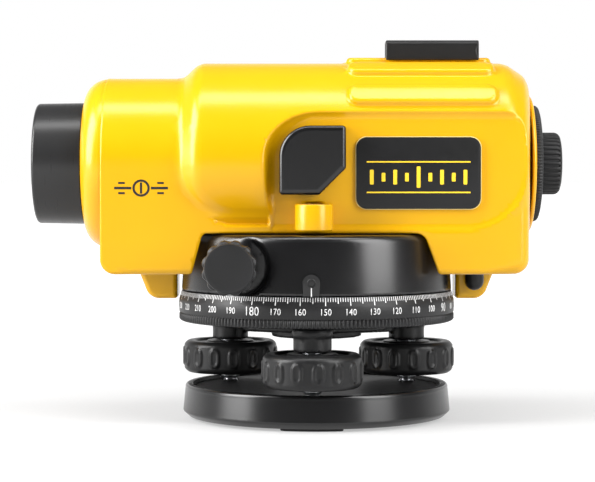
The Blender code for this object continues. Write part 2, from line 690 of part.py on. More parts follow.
def make_vial():
    spot = (*VIAL, 0)
    cup = [(0, 77.5), (6.2, 77.5), (6.2, 86.2), (5.6, 86.2), (5.6, 79.0), (0, 79.0)]
    piece("vial_cup", turned(cup, centre=spot, sides=20), "black_anodised")
    glass = [(0, 79.3), (5.3, 79.3), (5.3, 86.2), (3.4, 86.9), (0, 87.1)]
    piece("circular_vial", turned(glass, centre=spot, sides=20), "optical_glass")


def make_prism_cover():
    left, right, low, high = -14.9, 11.1, 89.8, 116.8
    corner = arc((left + 12.0, high - 12.0), 12.0, 180, 90, 4)
    outline = [(right, high)] + corner[::-1] + [(left, low), (right - 10.4, low), (right, low + 10.4)]
    front, back = -44.6, -RECESS_Y - GAP
    shell = prism(outline, front, back)
    middle = (-2.0, 101.0)
    inner = [(middle[0] + (x - middle[0]) * 0.86, middle[1] + (z - middle[1]) * 0.86) for x, z in outline]
    cavity = prism(inner, front + 1.4, back - 1.4)
    mouth = block((left + 3.0, right - 11.5), (front + 1.4, back - 1.4), (low - 2, low + 4))
    window = block((right - 12.0, right + 2.0), (front + 1.4, back - 1.4), (low - 2.0, low + 8.0))
    piece("prism_cover", cut(shell, cavity, mouth, window), "black_gloss")
    glass = [(-3.0, 96.3), (5.0, 96.3), (7.0, 98.3), (7.0, 104.1), (-3.0, 104.1)]
    piece("viewing_prism", prism(glass, front + 2.0, back - 2.0), "optical_glass")


def make_sight_and_plate():
    low, high = 144.4, 152.5
    outline = [
        (-6.4, low), (-4.8, low), (-4.8, 146.0), (4.8, 146.0), (4.8, low),
        (6.4, low), (6.4, high - 1.0), (5.6, high), (-5.6, high), (-6.4, high - 1.0),
    ]
    sight = prism(outline, 28.3, 66.1, "X")
    tunnel = block((27.0, 68.0), (-2.6, 2.6), (146.8, 151.2))
    piece("peep_sight", cut(sight, tunnel), "black_plastic")
    face = -RECESS_Y - GAP
    piece("name_plate", prism(rounded((15.3, 64.3), (84.2, 112.4), 4.0), face - 1.0, face), "black_gloss")


def main():
    clear_scene()
    make_foot_plate()
    make_retaining_plate()
    for name in SCREWS:
        make_foot_screw(name)
    make_tribrach()
    make_circle()
    make_bell()
    make_spindle()
    make_drive()
    make_housing()
    make_chassis()
    make_check_button()
    make_nose()
    make_objective()
    make_barrel()
    make_focusing()
    make_compensator()
    make_eyepiece()
    make_vial()
    make_prism_cover()
    make_sight_and_plate()


main()
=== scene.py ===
"""Looks of the automatic level: moulded shells, turned rings, graduations, materials, light and camera.

Lengths are millimetres from the vertical axis (X, Y) and from the foot plate's seat (Z). place() turns them
into the frame's metres. Where a piece stands comes from the CAD node that it replaces.
"""
import json
import math

import bmesh
import bpy
import numpy as np
import openvdb
from mathutils import Matrix, Vector


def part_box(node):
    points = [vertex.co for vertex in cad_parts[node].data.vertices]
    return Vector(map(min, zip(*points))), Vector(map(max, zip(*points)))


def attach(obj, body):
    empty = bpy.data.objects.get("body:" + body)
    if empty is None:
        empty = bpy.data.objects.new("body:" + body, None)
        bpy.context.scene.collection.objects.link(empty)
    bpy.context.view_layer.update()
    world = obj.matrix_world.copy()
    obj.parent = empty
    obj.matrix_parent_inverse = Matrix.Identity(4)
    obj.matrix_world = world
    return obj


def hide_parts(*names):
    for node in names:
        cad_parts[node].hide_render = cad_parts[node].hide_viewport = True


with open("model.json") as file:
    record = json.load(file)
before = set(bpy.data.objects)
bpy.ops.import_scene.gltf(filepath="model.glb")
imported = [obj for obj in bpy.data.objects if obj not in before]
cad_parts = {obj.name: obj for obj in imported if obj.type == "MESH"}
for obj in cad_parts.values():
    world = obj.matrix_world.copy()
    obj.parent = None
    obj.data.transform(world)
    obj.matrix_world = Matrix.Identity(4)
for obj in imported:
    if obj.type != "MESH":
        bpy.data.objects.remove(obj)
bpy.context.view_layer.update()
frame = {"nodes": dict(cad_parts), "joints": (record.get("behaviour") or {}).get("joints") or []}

MM = 0.001
JOINTS = {joint["name"]: joint for joint in frame["joints"]}
AXIS_X = JOINTS["telescope_turn"]["pos_m"][0] / MM
SEAT_Z = JOINTS["front_tilt"]["pos_m"][2] / MM - 8.1  # the ball ends turn 8.1 above the seat


class Span:
    """A CAD node's box in millimetres: x, y and z are (low, high) pairs."""

    def __init__(self, node):
        low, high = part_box(node)
        self.x = (low.x / MM - AXIS_X, high.x / MM - AXIS_X)
        self.y = (low.y / MM, high.y / MM)
        self.z = (low.z / MM - SEAT_Z, high.z / MM - SEAT_Z)


def middle(pair):
    return (pair[0] + pair[1]) / 2


def half(pair):
    return (pair[1] - pair[0]) / 2


HOOD = Span("objective_hood")
HOUSING = Span("housing")
BELL = Span("bell")
CIRCLE = Span("horizontal_circle")
SIGHT_Z = middle(HOOD.z)


# ---- materials


def shader_inputs(material):
    return material.node_tree.nodes["Principled BSDF"].inputs


def new_material(name, colour, roughness, metallic=0.0, ior=1.45, coat=0.0, coat_roughness=0.1):
    material = bpy.data.materials.new(name)
    material.use_nodes = True
    inputs = shader_inputs(material)
    inputs["Base Color"].default_value = (*colour, 1.0)
    inputs["Roughness"].default_value = roughness
    inputs["Metallic"].default_value = metallic
    inputs["IOR"].default_value = ior
    inputs["Coat Weight"].default_value = coat
    inputs["Coat Roughness"].default_value = coat_roughness
    return material


def add_noise(material, scale, detail=3.0, stretch=(1.0, 1.0, 1.0)):
    """Noise over the object's own coordinates; returns its factor socket."""
    tree = material.node_tree
    coordinates = tree.nodes.new("ShaderNodeTexCoord")
    mapping = tree.nodes.new("ShaderNodeMapping")
    mapping.inputs["Scale"].default_value = stretch
    noise = tree.nodes.new("ShaderNodeTexNoise")
    noise.inputs["Scale"].default_value = scale
    noise.inputs["Detail"].default_value = detail
    tree.links.new(coordinates.outputs["Object"], mapping.inputs["Vector"])
    tree.links.new(mapping.outputs["Vector"], noise.inputs["Vector"])
    return noise.outputs["Fac"]


def map_range(tree, source, low, high, start=0.0, end=1.0, kind="LINEAR"):
    """A source that runs from start to end, as a value from low to high."""
    node = tree.nodes.new("ShaderNodeMapRange")
    node.interpolation_type = kind
    for name, value in (("From Min", start), ("From Max", end), ("To Min", low), ("To Max", high)):
        node.inputs[name].default_value = value
    tree.links.new(source, node.inputs["Value"])
    return node.outputs["Result"]


def add_bump(material, height, strength, distance):
    tree = material.node_tree
    bump = tree.nodes.new("ShaderNodeBump")
    bump.inputs["Strength"].default_value = strength
    bump.inputs["Distance"].default_value = distance
    tree.links.new(height, bump.inputs["Height"])
    tree.links.new(bump.outputs["Normal"], shader_inputs(material)["Normal"])


def vary_colour(material, scale, first, second):
    """Base colour that clouds between two tones."""
    tree = material.node_tree
    ramp = tree.nodes.new("ShaderNodeValToRGB")
    for element, position, tone in zip(ramp.color_ramp.elements, (0.3, 0.7), (first, second)):
        element.position = position
        element.color = (*tone, 1.0)
    tree.links.new(add_noise(material, scale), ramp.inputs["Fac"])
    tree.links.new(ramp.outputs["Color"], shader_inputs(material)["Base Color"])


def vary_roughness(material, source, low, high):
    tree = material.node_tree
    tree.links.new(map_range(tree, source, low, high), shader_inputs(material)["Roughness"])


def yellow_enamel():
    material = new_material("yellow_enamel", (0.68, 0.352, 0.001), 0.3, ior=1.55)
    shader_inputs(material)["Specular Tint"].default_value = (1.0, 0.94, 0.70, 1.0)
    vary_colour(material, 35.0, (0.67, 0.345, 0.0008), (0.70, 0.36, 0.0011))
    vary_roughness(material, add_noise(material, 220.0), 0.20, 0.27)
    add_bump(material, add_noise(material, 900.0, 2.0), 0.10, 0.00012)
    return material


def grained_black(name, level, roughness, strength=0.25, ior=1.45):
    material = new_material(name, (level, level, level * 1.05), roughness, ior=ior)
    vary_colour(material, 60.0, (level * 0.85,) * 3, (level * 1.15, level * 1.15, level * 1.22))
    vary_roughness(material, add_noise(material, 300.0), roughness - 0.05, roughness + 0.06)
    add_bump(material, add_noise(material, 1400.0, 2.0), strength, 0.00008)
    return material


def gloss_black():
    material = new_material("gloss_black", (0.004, 0.004, 0.0044), 0.2, ior=1.55)
    vary_colour(material, 50.0, (0.0035, 0.0035, 0.0038), (0.0045, 0.0045, 0.005))
    vary_roughness(material, add_noise(material, 90.0), 0.22, 0.28)
    add_bump(material, add_noise(material, 260.0, 2.0), 0.05, 0.0001)
    return material


def turned_metal(name, colour, roughness, metallic=1.0, axis="Z"):
    """Machined metal with fine rings square to its axis."""
    material = new_material(name, colour, roughness, metallic)
    stretch = {"X": (1.0, 0.02, 0.02), "Z": (0.02, 0.02, 1.0)}[axis]
    rings = add_noise(material, 2600.0, 3.0, stretch)
    vary_roughness(material, rings, roughness - 0.08, roughness + 0.10)
    vary_colour(material, 80.0, tuple(c * 0.93 for c in colour), colour)
    add_bump(material, rings, 0.25, 0.00003)
    return material


def cast_metal():
    material = new_material("cast_aluminium", (0.42, 0.43, 0.44), 0.5, 0.85)
    vary_roughness(material, add_noise(material, 260.0), 0.42, 0.60)
    vary_colour(material, 120.0, (0.36, 0.37, 0.38), (0.46, 0.47, 0.48))
    add_bump(material, add_noise(material, 700.0, 4.0), 0.5, 0.00015)
    return material


def glass(name, tint, roughness=0.02):
    material = new_material(name, tint, roughness, ior=1.52)
    shader_inputs(material)["Transmission Weight"].default_value = 1.0
    vary_roughness(material, add_noise(material, 60.0), 0.0, roughness)
    return material


def coated_lens():
    """Objective glass with a violet-green anti-reflection bloom."""
    colour = (0.02, 0.03, 0.045)
    material = new_material("coated_lens", colour, 0.04, ior=1.6, coat=1.0, coat_roughness=0.02)
    vary_colour(material, 25.0, (0.012, 0.020, 0.040), (0.030, 0.022, 0.050))
    shader_inputs(material)["Coat Tint"].default_value = (0.55, 0.75, 0.85, 1.0)
    return material


def print_paint(name, colour, roughness=0.55):
    material = new_material(name, colour, roughness)
    vary_colour(material, 400.0, tuple(c * 0.94 for c in colour), colour)
    vary_roughness(material, add_noise(material, 500.0), roughness - 0.05, roughness + 0.05)
    return material


YELLOW = yellow_enamel()
SATIN = grained_black("satin_black", 0.010, 0.36, ior=1.37)
MATT = grained_black("matt_black", 0.014, 0.5, strength=0.4, ior=1.4)
GLOSS = gloss_black()
GREY = grained_black("grey_plastic", 0.014, 0.42, ior=1.38)
ANODISED_X = turned_metal("black_anodised_x", (0.016, 0.016, 0.0165), 0.30, 0.0, "X")
STEEL = turned_metal("steel", (0.55, 0.56, 0.58), 0.28)
BRASS = turned_metal("brass", (0.72, 0.50, 0.18), 0.30)
CAST = cast_metal()
GLASS = glass("optical_glass", (0.86, 0.94, 0.92))
LENS = coated_lens()
CREAM = print_paint("cream_print", (0.78, 0.62, 0.22))
WHITE_PRINT = print_paint("white_print", (0.80, 0.80, 0.80))
BLACK_PRINT = print_paint("black_print", (0.014, 0.013, 0.012), 0.5)
MAGNET = turned_metal("magnet", (0.20, 0.20, 0.21), 0.4, 0.9)
VIAL_FLUID = glass("vial_fluid", (0.75, 0.88, 0.30), 0.03)
PLATE_YELLOW = print_paint("plate_yellow", (0.90, 0.60, 0.02))


# ---- mesh tools


def place(x, y, z):
    """Millimetres from the vertical axis to metres in the frame."""
    return Vector(((x + AXIS_X) * MM, y * MM, (z + SEAT_Z) * MM))


def new_piece(name, mesh, material, sharp=35.0):
    """An object in the scene with one material; edges sharper than the angle stay crisp."""
    obj = bpy.data.objects.new(name, mesh)
    bpy.context.scene.collection.objects.link(obj)
    mesh.materials.append(material)
    mesh.shade_smooth()
    if sharp:
        mesh.set_sharp_from_angle(angle=math.radians(sharp))
    return obj


def install(obj, body, slot, *nodes):
    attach(obj, body)
    if nodes:
        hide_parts(*nodes)
    return obj


def finish_bmesh(bm, name):
    bmesh.ops.recalc_face_normals(bm, faces=bm.faces)
    mesh = bpy.data.meshes.new(name)
    bm.to_mesh(mesh)
    bm.free()
    return mesh


def bridge(bm, first, second):
    """Faces between two closed rings with as many vertices each."""
    for k in range(len(first)):
        after = (k + 1) % len(first)
        bm.faces.new((first[k], first[after], second[after], second[k]))


def on_axis(axis, centre, radius, angle, along):
    across, up = radius * math.cos(angle), radius * math.sin(angle)
    x, y, z = centre
    if axis == "X":
        return place(along, y + across, z + up)
    if axis == "Y":
        return place(x + across, along, z + up)
    return place(x + across, y + up, along)


def arc(centre, radius, start, end, steps=8):
    """Points on an arc, angles in degrees, ends included."""
    turns = [math.radians(start + (end - start) * k / steps) for k in range(steps + 1)]
    return [(centre[0] + radius * math.cos(t), centre[1] + radius * math.sin(t)) for t in turns]


def softened(corners, steps=5):
    """A closed outline of (u, v[, radius]) corners, each with a radius turned into an arc."""
    points = []
    count = len(corners)
    for k, (u, v, *given) in enumerate(corners):
        radius = given[0] if given else 0.0
        corner = Vector((u, v))
        if radius <= 0:
            points.append((u, v))
            continue
        before = (Vector(corners[k - 1][:2]) - corner).normalized()
        after = (Vector(corners[(k + 1) % count][:2]) - corner).normalized()
        spread = math.acos(max(-1.0, min(1.0, before.dot(after))))
        reach = radius / math.tan(spread / 2)
        start, end = corner + before * reach, corner + after * reach
        centre = corner + (before + after).normalized() * (radius / math.sin(spread / 2))
        first, last = (start - centre), (end - centre)
        turn = first.angle_signed(last) if first.length > 0 else 0.0
        for step in range(steps + 1):
            angle = -turn * step / steps
            spoke = Matrix.Rotation(angle, 2) @ first
            points.append((centre.x + spoke.x, centre.y + spoke.y))
    return points


def about(centre, reach):
    return centre - reach, centre + reach


def box_outline(u_span, v_span, radius=0.0, steps=5):
    """Closed rectangle with its corners rounded to the radius."""
    corners = ((0, 0), (1, 0), (1, 1), (0, 1))
    return softened([(u_span[i], v_span[k], radius) for i, k in corners], steps)


def swap(points):
    return [(v, u) for u, v in points]


def near(radius, along, *offsets):
    """Section points, given as offsets from the corner at (radius, along)."""
    return [(radius + dr, along + da) for dr, da in offsets]


def cap(top, rim, rise, side, steps):
    """Outline of a lens face from its middle, at position top, to its rim, which falls away towards side."""
    bulge = (rim * rim + rise * rise) / (2 * rise)
    spread = math.asin(rim / bulge)
    turns = [spread * k / steps for k in range(steps + 1)]
    return [(bulge * math.sin(t), top + side * bulge * (1 - math.cos(t))) for t in turns]


def fluted(count, depth, inside, floor, profile):
    """Shape for lathe: flutes round the rim, between the positions inside and on radii above floor."""

    def shape(r, along, angle):
        if r <= floor or not inside[0] < along < inside[1]:
            return r
        return r - depth * profile(0.5 - 0.5 * math.cos(count * angle))

    return shape


def lathe(name, profile, material, axis="Z", centre=(0, 0, 0), sides=160, shape=None, sharp=35.0):
    """Solid turned from a loop of (radius, position); shape(radius, position, angle) moves the radius."""
    bm = bmesh.new()
    rings = []
    for radius, along in profile:
        count = sides if radius > 0 else 1
        ring = []
        for k in range(count):
            angle = 2 * math.pi * k / count
            reach = shape(radius, along, angle) if shape and radius > 0 else radius
            ring.append(bm.verts.new(on_axis(axis, centre, reach, angle, along)))
        rings.append(ring)
    for low, high in zip(rings, rings[1:] + rings[:1]):
        if len(low) == len(high) == 1:
            continue
        for k in range(sides):
            after = k + 1
            loop = [low[k % len(low)], low[after % len(low)], high[after % len(high)], high[k % len(high)]]
            bm.faces.new(list(dict.fromkeys(loop)))
    return new_piece(name, finish_bmesh(bm, name), material, sharp)


def slab(name, outline, low, high, material, along="Y", bevel=0.0, segments=3, sharp=35.0):
    """Extruded outline, (x, z) along Y or (x, y) along Z, with its rim edges bevelled."""

    def place_at(u, v, w):
        return place(u, w, v) if along == "Y" else place(u, v, w)

    bm = bmesh.new()
    first = [bm.verts.new(place_at(u, v, low)) for u, v in outline]
    second = [bm.verts.new(place_at(u, v, high)) for u, v in outline]
    bridge(bm, first, second)
    caps = [bm.faces.new(first), bm.faces.new(second)]
    if bevel:
        rims = list({edge for cap in caps for edge in cap.edges})
        bmesh.ops.bevel(bm, geom=rims, offset=bevel * MM, segments=segments, profile=0.5, affect="EDGES")
    return new_piece(name, finish_bmesh(bm, name), material, sharp)


def joined(name, *objects):
    """Several objects as one, keeping their materials."""
    bm = bmesh.new()
    materials = []
    for obj in objects:
        offset = len(bm.faces)
        bm.from_mesh(obj.data)
        bm.faces.ensure_lookup_table()
        own = list(obj.data.materials)
        for material in own:
            if material not in materials:
                materials.append(material)
        for face in list(bm.faces)[offset:]:
            face.material_index = materials.index(own[face.material_index])
    mesh = bpy.data.meshes.new(name)
    bm.to_mesh(mesh)
    bm.free()
    for material in materials:
        mesh.materials.append(material)
    for obj in objects:
        bpy.data.objects.remove(obj, do_unlink=True)
    result = bpy.data.objects.new(name, mesh)
    bpy.context.scene.collection.objects.link(result)
    return result


# ---- distance fields, in mm, negative inside


def both(a, b, r=0.0):
    """Intersection whose edge is rounded to radius r."""
    if np.isscalar(r) and r <= 0:
        return np.maximum(a, b)
    return np.minimum(-r, np.maximum(a, b)) + np.hypot(np.maximum(r + a, 0), np.maximum(r + b, 0))


def either(a, b, r=0.0):
    """Union whose inner corner is filled to radius r."""
    return -both(-a, -b, r)


def without(a, b, r=0.0):
    return both(a, -b, r)


def rectangle(u, v, u_span, v_span, r=0.0):
    du = np.abs(u - middle(u_span)) - half(u_span) + r
    dv = np.abs(v - middle(v_span)) - half(v_span) + r
    return np.hypot(np.maximum(du, 0), np.maximum(dv, 0)) + np.minimum(np.maximum(du, dv), 0) - r


def slab_field(w, span):
    return np.abs(w - middle(span)) - half(span)


def field_piece(name, field, low, high, step, material):
    """Mesh of the surface where field(x, y, z) is 0; its vertices and normals are taken from the field."""
    spans = zip(low, high)
    axes = [np.arange(a - 2 * step, b + 2.01 * step, step, dtype=np.float32) for a, b in spans]
    values = field(*np.meshgrid(*axes, indexing="ij", sparse=True))
    values = np.clip(np.broadcast_to(values, [len(a) for a in axes]), -3 * step, 3 * step).astype(np.float32)
    grid = openvdb.FloatGrid(background=3 * step)
    grid.copyFromArray(np.ascontiguousarray(values))
    points, triangles, quads = grid.convertToPolygons(isovalue=0.0, adaptivity=0.01)
    points = points * step + np.array([a[0] for a in axes])

    def at(p):
        return field(p[:, 0], p[:, 1], p[:, 2])

    def slope(p):
        h = 0.2 * step
        parts = [(at(p + h * unit) - at(p - h * unit)) / (2 * h) for unit in np.eye(3)]
        return np.stack(parts, 1)

    for _ in range(2):
        gradient = slope(points)
        size = np.maximum((gradient**2).sum(1), 0.2)
        points = points - np.clip(at(points) / size, -0.3 * step, 0.3 * step)[:, None] * gradient
    normals = slope(points)
    normals /= np.maximum(np.linalg.norm(normals, axis=1), 1e-6)[:, None]
    mesh = bpy.data.meshes.new(name)
    placed = (points + np.array([AXIS_X, 0, SEAT_Z])) * MM
    faces = triangles.tolist() + quads.tolist()
    mesh.from_pydata(placed.tolist(), [], faces)
    mesh.update()
    obj = new_piece(name, mesh, material, sharp=None)
    mesh.normals_split_custom_set_from_vertices(normals.tolist())
    return obj


# ---- housing

FRONT_R = 34.8  # arch of the front section and half width of its skirt
DRUM_R = 41.0
DRUM_FRONT_X = -54.3
FAR = 200.0  # well past the housing's rear and top
DRUM_RAMP = math.radians(43.5)
DRUM_Z = 75.8  # lower edge of the drum, seen from the side
DRUM_REAR = ((76.6, 41.0), (85.6, 35.0))  # (x, radius) at the ends of the rear chamfer
REAR_CROWN = 2.6  # the rear face bows out by this much between its sides and its middle
FLAT_Y = 35.4
RECESS_Y = 34.6
RECESS_X = (-21.0, 83.2)
RECESS_Z = (75.9, 122.3)
WALL = 2.8
SKIRT_Z = HOUSING.z[0]
CUTOUT = ((-50.2, 56.3), (-45.4, 74.5), (42.2, 74.5), (48.8, 56.3))
RIB_X = (12.2, 71.2)
RIB_HALF_WIDTH = 5.0
TOP_RIB_SHARE = 0.8  # width of the top rib, of the others' width
RIB_RISE = 2.3
RIB_ANGLES = (-49.5, -24.5, 0, 24.5, 49.5)
VIAL = Span("vial_cup")
VIAL_SPOT = (middle(VIAL.x), middle(VIAL.y))
VIAL_BOSS_R = 7.4
VIAL_NICHE_Z = (77.2, 86.6)
FOCUS_X = middle(Span("focus_shaft").x)
FOCUS_BOSS_R, FOCUS_BOSS_Y = 9.0, (34.0, 42.6)
FOCUS_BORE_R = 3.0
NOSE_BORE_R, EYE_BORE_R = 22.5, 12.1
FOCUS_WALL_Y, REAR_WALL_X = 30.0, 60.0  # the bores for the focusing shaft and the eyepiece start here


def line_field(x, z, first, second):
    """Distance to the left of the line from first to second."""
    dx, dz = second[0] - first[0], second[1] - first[1]
    return ((z - first[1]) * dx - (x - first[0]) * dz) / math.hypot(dx, dz)


def arch_field(y, z, radius, half_width):
    """Round top on straight sides."""
    return np.where(z > SIGHT_Z, np.hypot(y, z - SIGHT_Z) - radius, np.abs(y) - half_width)


def rear_field(x, y):
    return x - HOUSING.x[1] + REAR_CROWN * (y / FLAT_Y) ** 2


def front_body(x, y, z):
    """Front section and skirt: a rounded outline seen from the side, and an arch seen from the front."""
    widening = (FLAT_Y - FRONT_R) * np.clip((x + 44.0) / 12.0, 0, 1)
    arch = arch_field(y, z, FRONT_R, FRONT_R + widening)
    ahead = both(HOUSING.x[0] - x, SKIRT_Z - z, 6.0)
    behind = both(rear_field(x, y), SKIRT_Z - z, 6.0)
    rounding = np.interp(x, (HOUSING.x[0] + 4.0, HOUSING.x[0] + 14.0, 66.0, 78.0), (0.9, 2.2, 2.2, 4.6))
    return both(arch, np.maximum(ahead, behind), rounding)


def drum_outline(x, z):
    return rectangle(x, z, (DRUM_FRONT_X, FAR), (DRUM_Z, FAR), 22.0)


def drum_body(x, y, z):
    radial = np.hypot(y, z - SIGHT_Z) - DRUM_R
    ramp = math.sin(DRUM_RAMP) * drum_outline(x, z) + math.cos(DRUM_RAMP) * (radial + DRUM_R - FRONT_R)
    chamfer = line_field(x, radial + DRUM_R, *DRUM_REAR)
    return both(both(radial, ramp, 1.8), both(chamfer, rear_field(x, y), 2.5), 1.5)


def drum_relief(x, y, z):
    """Cutter that lets the round drum recede under itself, down to a ledge along the skirt."""
    beyond = DRUM_R - np.hypot(y, z - SIGHT_Z)
    edges = both(drum_outline(x, z) + 2.0, x - RECESS_X[0] - 2.0, 1.0)
    return both(both(edges, beyond, 0.8), z - SIGHT_Z, 0.0)


def recess_field(x, y, z):
    """The flats on the drum's sides: deep walls in front and above, a thin step behind and below."""
    deep = DRUM_R - np.abs(y)
    shallow = FLAT_Y - np.abs(y)
    front = (RECESS_X[0] - x + 0.45 * deep) / math.hypot(1, 0.45)
    upper = (z - RECESS_Z[1] - 0.5 * (DRUM_R - FLAT_Y) + 0.5 * deep) / math.hypot(1, 0.5)
    rear = (x - RECESS_X[1] + 0.6 * shallow) / math.hypot(1, 0.6)
    lower = (RECESS_Z[0] - z + 0.6 * shallow) / math.hypot(1, 0.6)
    walls = both(front, upper, 18.0)
    flat = both(walls, shallow, 0.8)
    sunken = both(both(walls, rear, 7.0), lower, 0.0)
    sunken = np.maximum(sunken, both(rear, lower, 20.0))
    return np.minimum(flat, both(sunken, RECESS_Y - np.abs(y), 1.6))


def rib_field(x, y, z):
    """Five grip ribs with round ends along the top of the drum."""
    radial = np.hypot(y, z - SIGHT_Z) - DRUM_R
    turn = np.degrees(np.arctan2(y, z - SIGHT_Z))
    nearest = 50.0
    for angle in RIB_ANGLES:
        across = np.radians(turn - angle) * DRUM_R
        width = RIB_HALF_WIDTH if angle else TOP_RIB_SHARE * RIB_HALF_WIDTH
        nearest = np.minimum(nearest, rectangle(x, across, RIB_X, (-width, width), width * 0.85))
    return both(np.abs(radial) - RIB_RISE, nearest, 1.5)


def cavity_field(x, y, z):
    front = arch_field(y, z, FRONT_R - WALL, FRONT_R - WALL - 1.0)
    drum = np.maximum(np.hypot(y, z - SIGHT_Z) - DRUM_R + WALL, DRUM_FRONT_X + 9.0 - x)
    drum = np.maximum(drum, x - DRUM_REAR[0][0] + 2.0)
    room = np.minimum(front, np.maximum(drum, np.abs(y) - RECESS_Y + 2.0))
    return np.maximum(np.maximum(room, HOUSING.x[0] + WALL - x), x - HOUSING.x[1] + WALL + 1.5)


def cutout_field(x, z):
    """Opening over the bell, seen from the side."""
    lines = [line_field(x, z, a, b) for a, b in zip(CUTOUT, CUTOUT[1:])]
    return both(both(lines[0], lines[1], 2.0), lines[2], 3.0)


def housing_field(x, y, z):
    body = without(front_body(x, y, z), drum_relief(x, y, z), 0.6)
    body = either(body, drum_body(x, y, z), 1.2)
    body = without(body, recess_field(x, y, z), 0.7)
    body = either(body, rib_field(x, y, z), 1.0)
    knob_boss = np.hypot(x - FOCUS_X, z - SIGHT_Z) - FOCUS_BOSS_R
    body = either(body, both(knob_boss, slab_field(y, FOCUS_BOSS_Y), 0.8), 1.2)
    body = without(body, cavity_field(x, y, z), 0.6)
    body = without(body, cutout_field(x, z), 0.8)
    niche = np.hypot(x - VIAL_SPOT[0], y - VIAL_SPOT[1]) - VIAL_BOSS_R + 0.3
    body = without(body, np.maximum(niche, slab_field(z, VIAL_NICHE_Z)), 0.4)
    axial = np.hypot(y, z - SIGHT_Z)
    nose_bore = np.maximum(axial - NOSE_BORE_R, x - HOUSING.x[0] - 8.0)
    eye_bore = np.maximum(axial - EYE_BORE_R, REAR_WALL_X - x)
    focus_bore = np.maximum(np.hypot(x - FOCUS_X, z - SIGHT_Z) - FOCUS_BORE_R, FOCUS_WALL_Y - y)
    return without(without(body, np.minimum(nose_bore, eye_bore), 0.4), focus_bore, 0.4)


def make_housing():
    low = (HOUSING.x[0], -48.2, HOUSING.z[0])
    high = (HOUSING.x[1], 43.5, HOUSING.z[1] + 0.6)
    step = 0.8
    obj = field_piece("moulded_housing", housing_field, low, high, step, YELLOW)
    install(obj, "alidade", "yellow_enamel", "housing")
    section = [(VIAL_BOSS_R - 0.5, 75.6), (VIAL_BOSS_R, 76.1), (VIAL_BOSS_R, 85.5)]
    section += arc((VIAL_BOSS_R - 0.6, 85.5), 0.6, 0, 90, 4)[1:] + [(6.5, 86.1), (6.35, 85.9), (6.35, 75.6)]
    boss = lathe("vial_boss", section, YELLOW, "Z", (*VIAL_SPOT, 0), 96)
    install(boss, "alidade", "yellow_enamel")


def make_lugs():
    """Moulded pads that hang from the chassis in front of and behind the bell."""
    for name, side in (("front", -1), ("rear", 1)):
        span = Span("lug_" + name)
        start, reach = sorted((abs(span.x[0]), abs(span.x[1])))

        def lug_field(x, y, z, side=side, span=span, start=start, reach=reach):
            u = side * x
            slant = -line_field(u, z, (reach - 4.6, span.z[0]), (reach, span.z[0] + 11.7))
            outer = np.maximum(u - reach, slant)
            inner = start - u
            profile = both(both(outer, span.z[0] - z, 3.5), both(inner, z - span.z[1], 0.6), 1.2)
            return both(profile, slab_field(y, span.y), 2.0)

        low = (span.x[0], span.y[0], span.z[0])
        high = (span.x[1], span.y[1], span.z[1])
        obj = field_piece("moulded_lug_" + name, lug_field, low, high, 0.6, YELLOW)
        install(obj, "alidade", "yellow_enamel", "lug_" + name)


# ---- telescope rings


def make_nose():
    """Nose ring with a quarter-round shoulder, the hood and the objective behind it."""
    axis = (0, 0, SIGHT_Z)
    ring, lens = Span("nose_ring"), Span("objective_lens")
    outer, hood_r = half(ring.z), half(HOOD.z)
    face_r = hood_r + 0.35
    round_r = outer - face_r - 0.1
    front, back = ring.x
    shoulder = swap(arc((front + round_r, outer - round_r), round_r, 180, 90, 14))
    section = [(22.6, front + 0.5), (face_r, front + 0.1)] + shoulder
    section += [(outer, back - 0.2), (outer - 0.3, back + 0.2), (22.6, back + 0.2)]
    obj = lathe("nose_shell", section, YELLOW, "X", axis, 192)
    install(obj, "alidade", "yellow_enamel", "nose_ring")
    front, back = HOOD.x
    section = swap(arc((front + 0.7, 22.7), 0.7, 270, 180, 4))
    section += swap(arc((front + 1.3, hood_r - 1.4), 1.3, 180, 90, 6))
    section += [(hood_r + 0.2, back - 0.2), (hood_r, back), (19.1, back), (19.1, back - 1.8)]
    section.append((21.4, back - 2.2))
    baffles = 9
    first = back - 2.6
    pitch = (first - front - 5.8) / baffles
    for k in range(baffles):
        x = first - k * pitch
        section += [(21.9, x), (21.9, x - 0.35 * pitch), (21.4, x - 0.6 * pitch)]
    section.append((21.9, front + 4.5))
    obj = lathe("turned_hood", section, ANODISED_X, "X", axis, 192)
    install(obj, "alidade", "black_anodised", "objective_hood")
    rim = half(lens.z)
    section = cap(lens.x[0], rim, 1.9, 1, 12) + [(rim, lens.x[1] - 0.8), (0, lens.x[1])]
    obj = lathe("coated_objective", section, LENS, "X", axis, 128)
    install(obj, "alidade", "optical_glass", "objective_lens")
    keeper = Span("lens_retaining_ring")
    outer = half(keeper.z)
    low, high = keeper.x
    section = [(18.6, low + 0.5), (19.1, low)] + near(outer, low, (-0.2, 0), (0, 0.2))
    section += [(outer, high), (18.6, high)]
    obj = lathe("lens_keeper", section, ANODISED_X, "X", axis, 128)
    install(obj, "alidade", "black_anodised", "lens_retaining_ring")


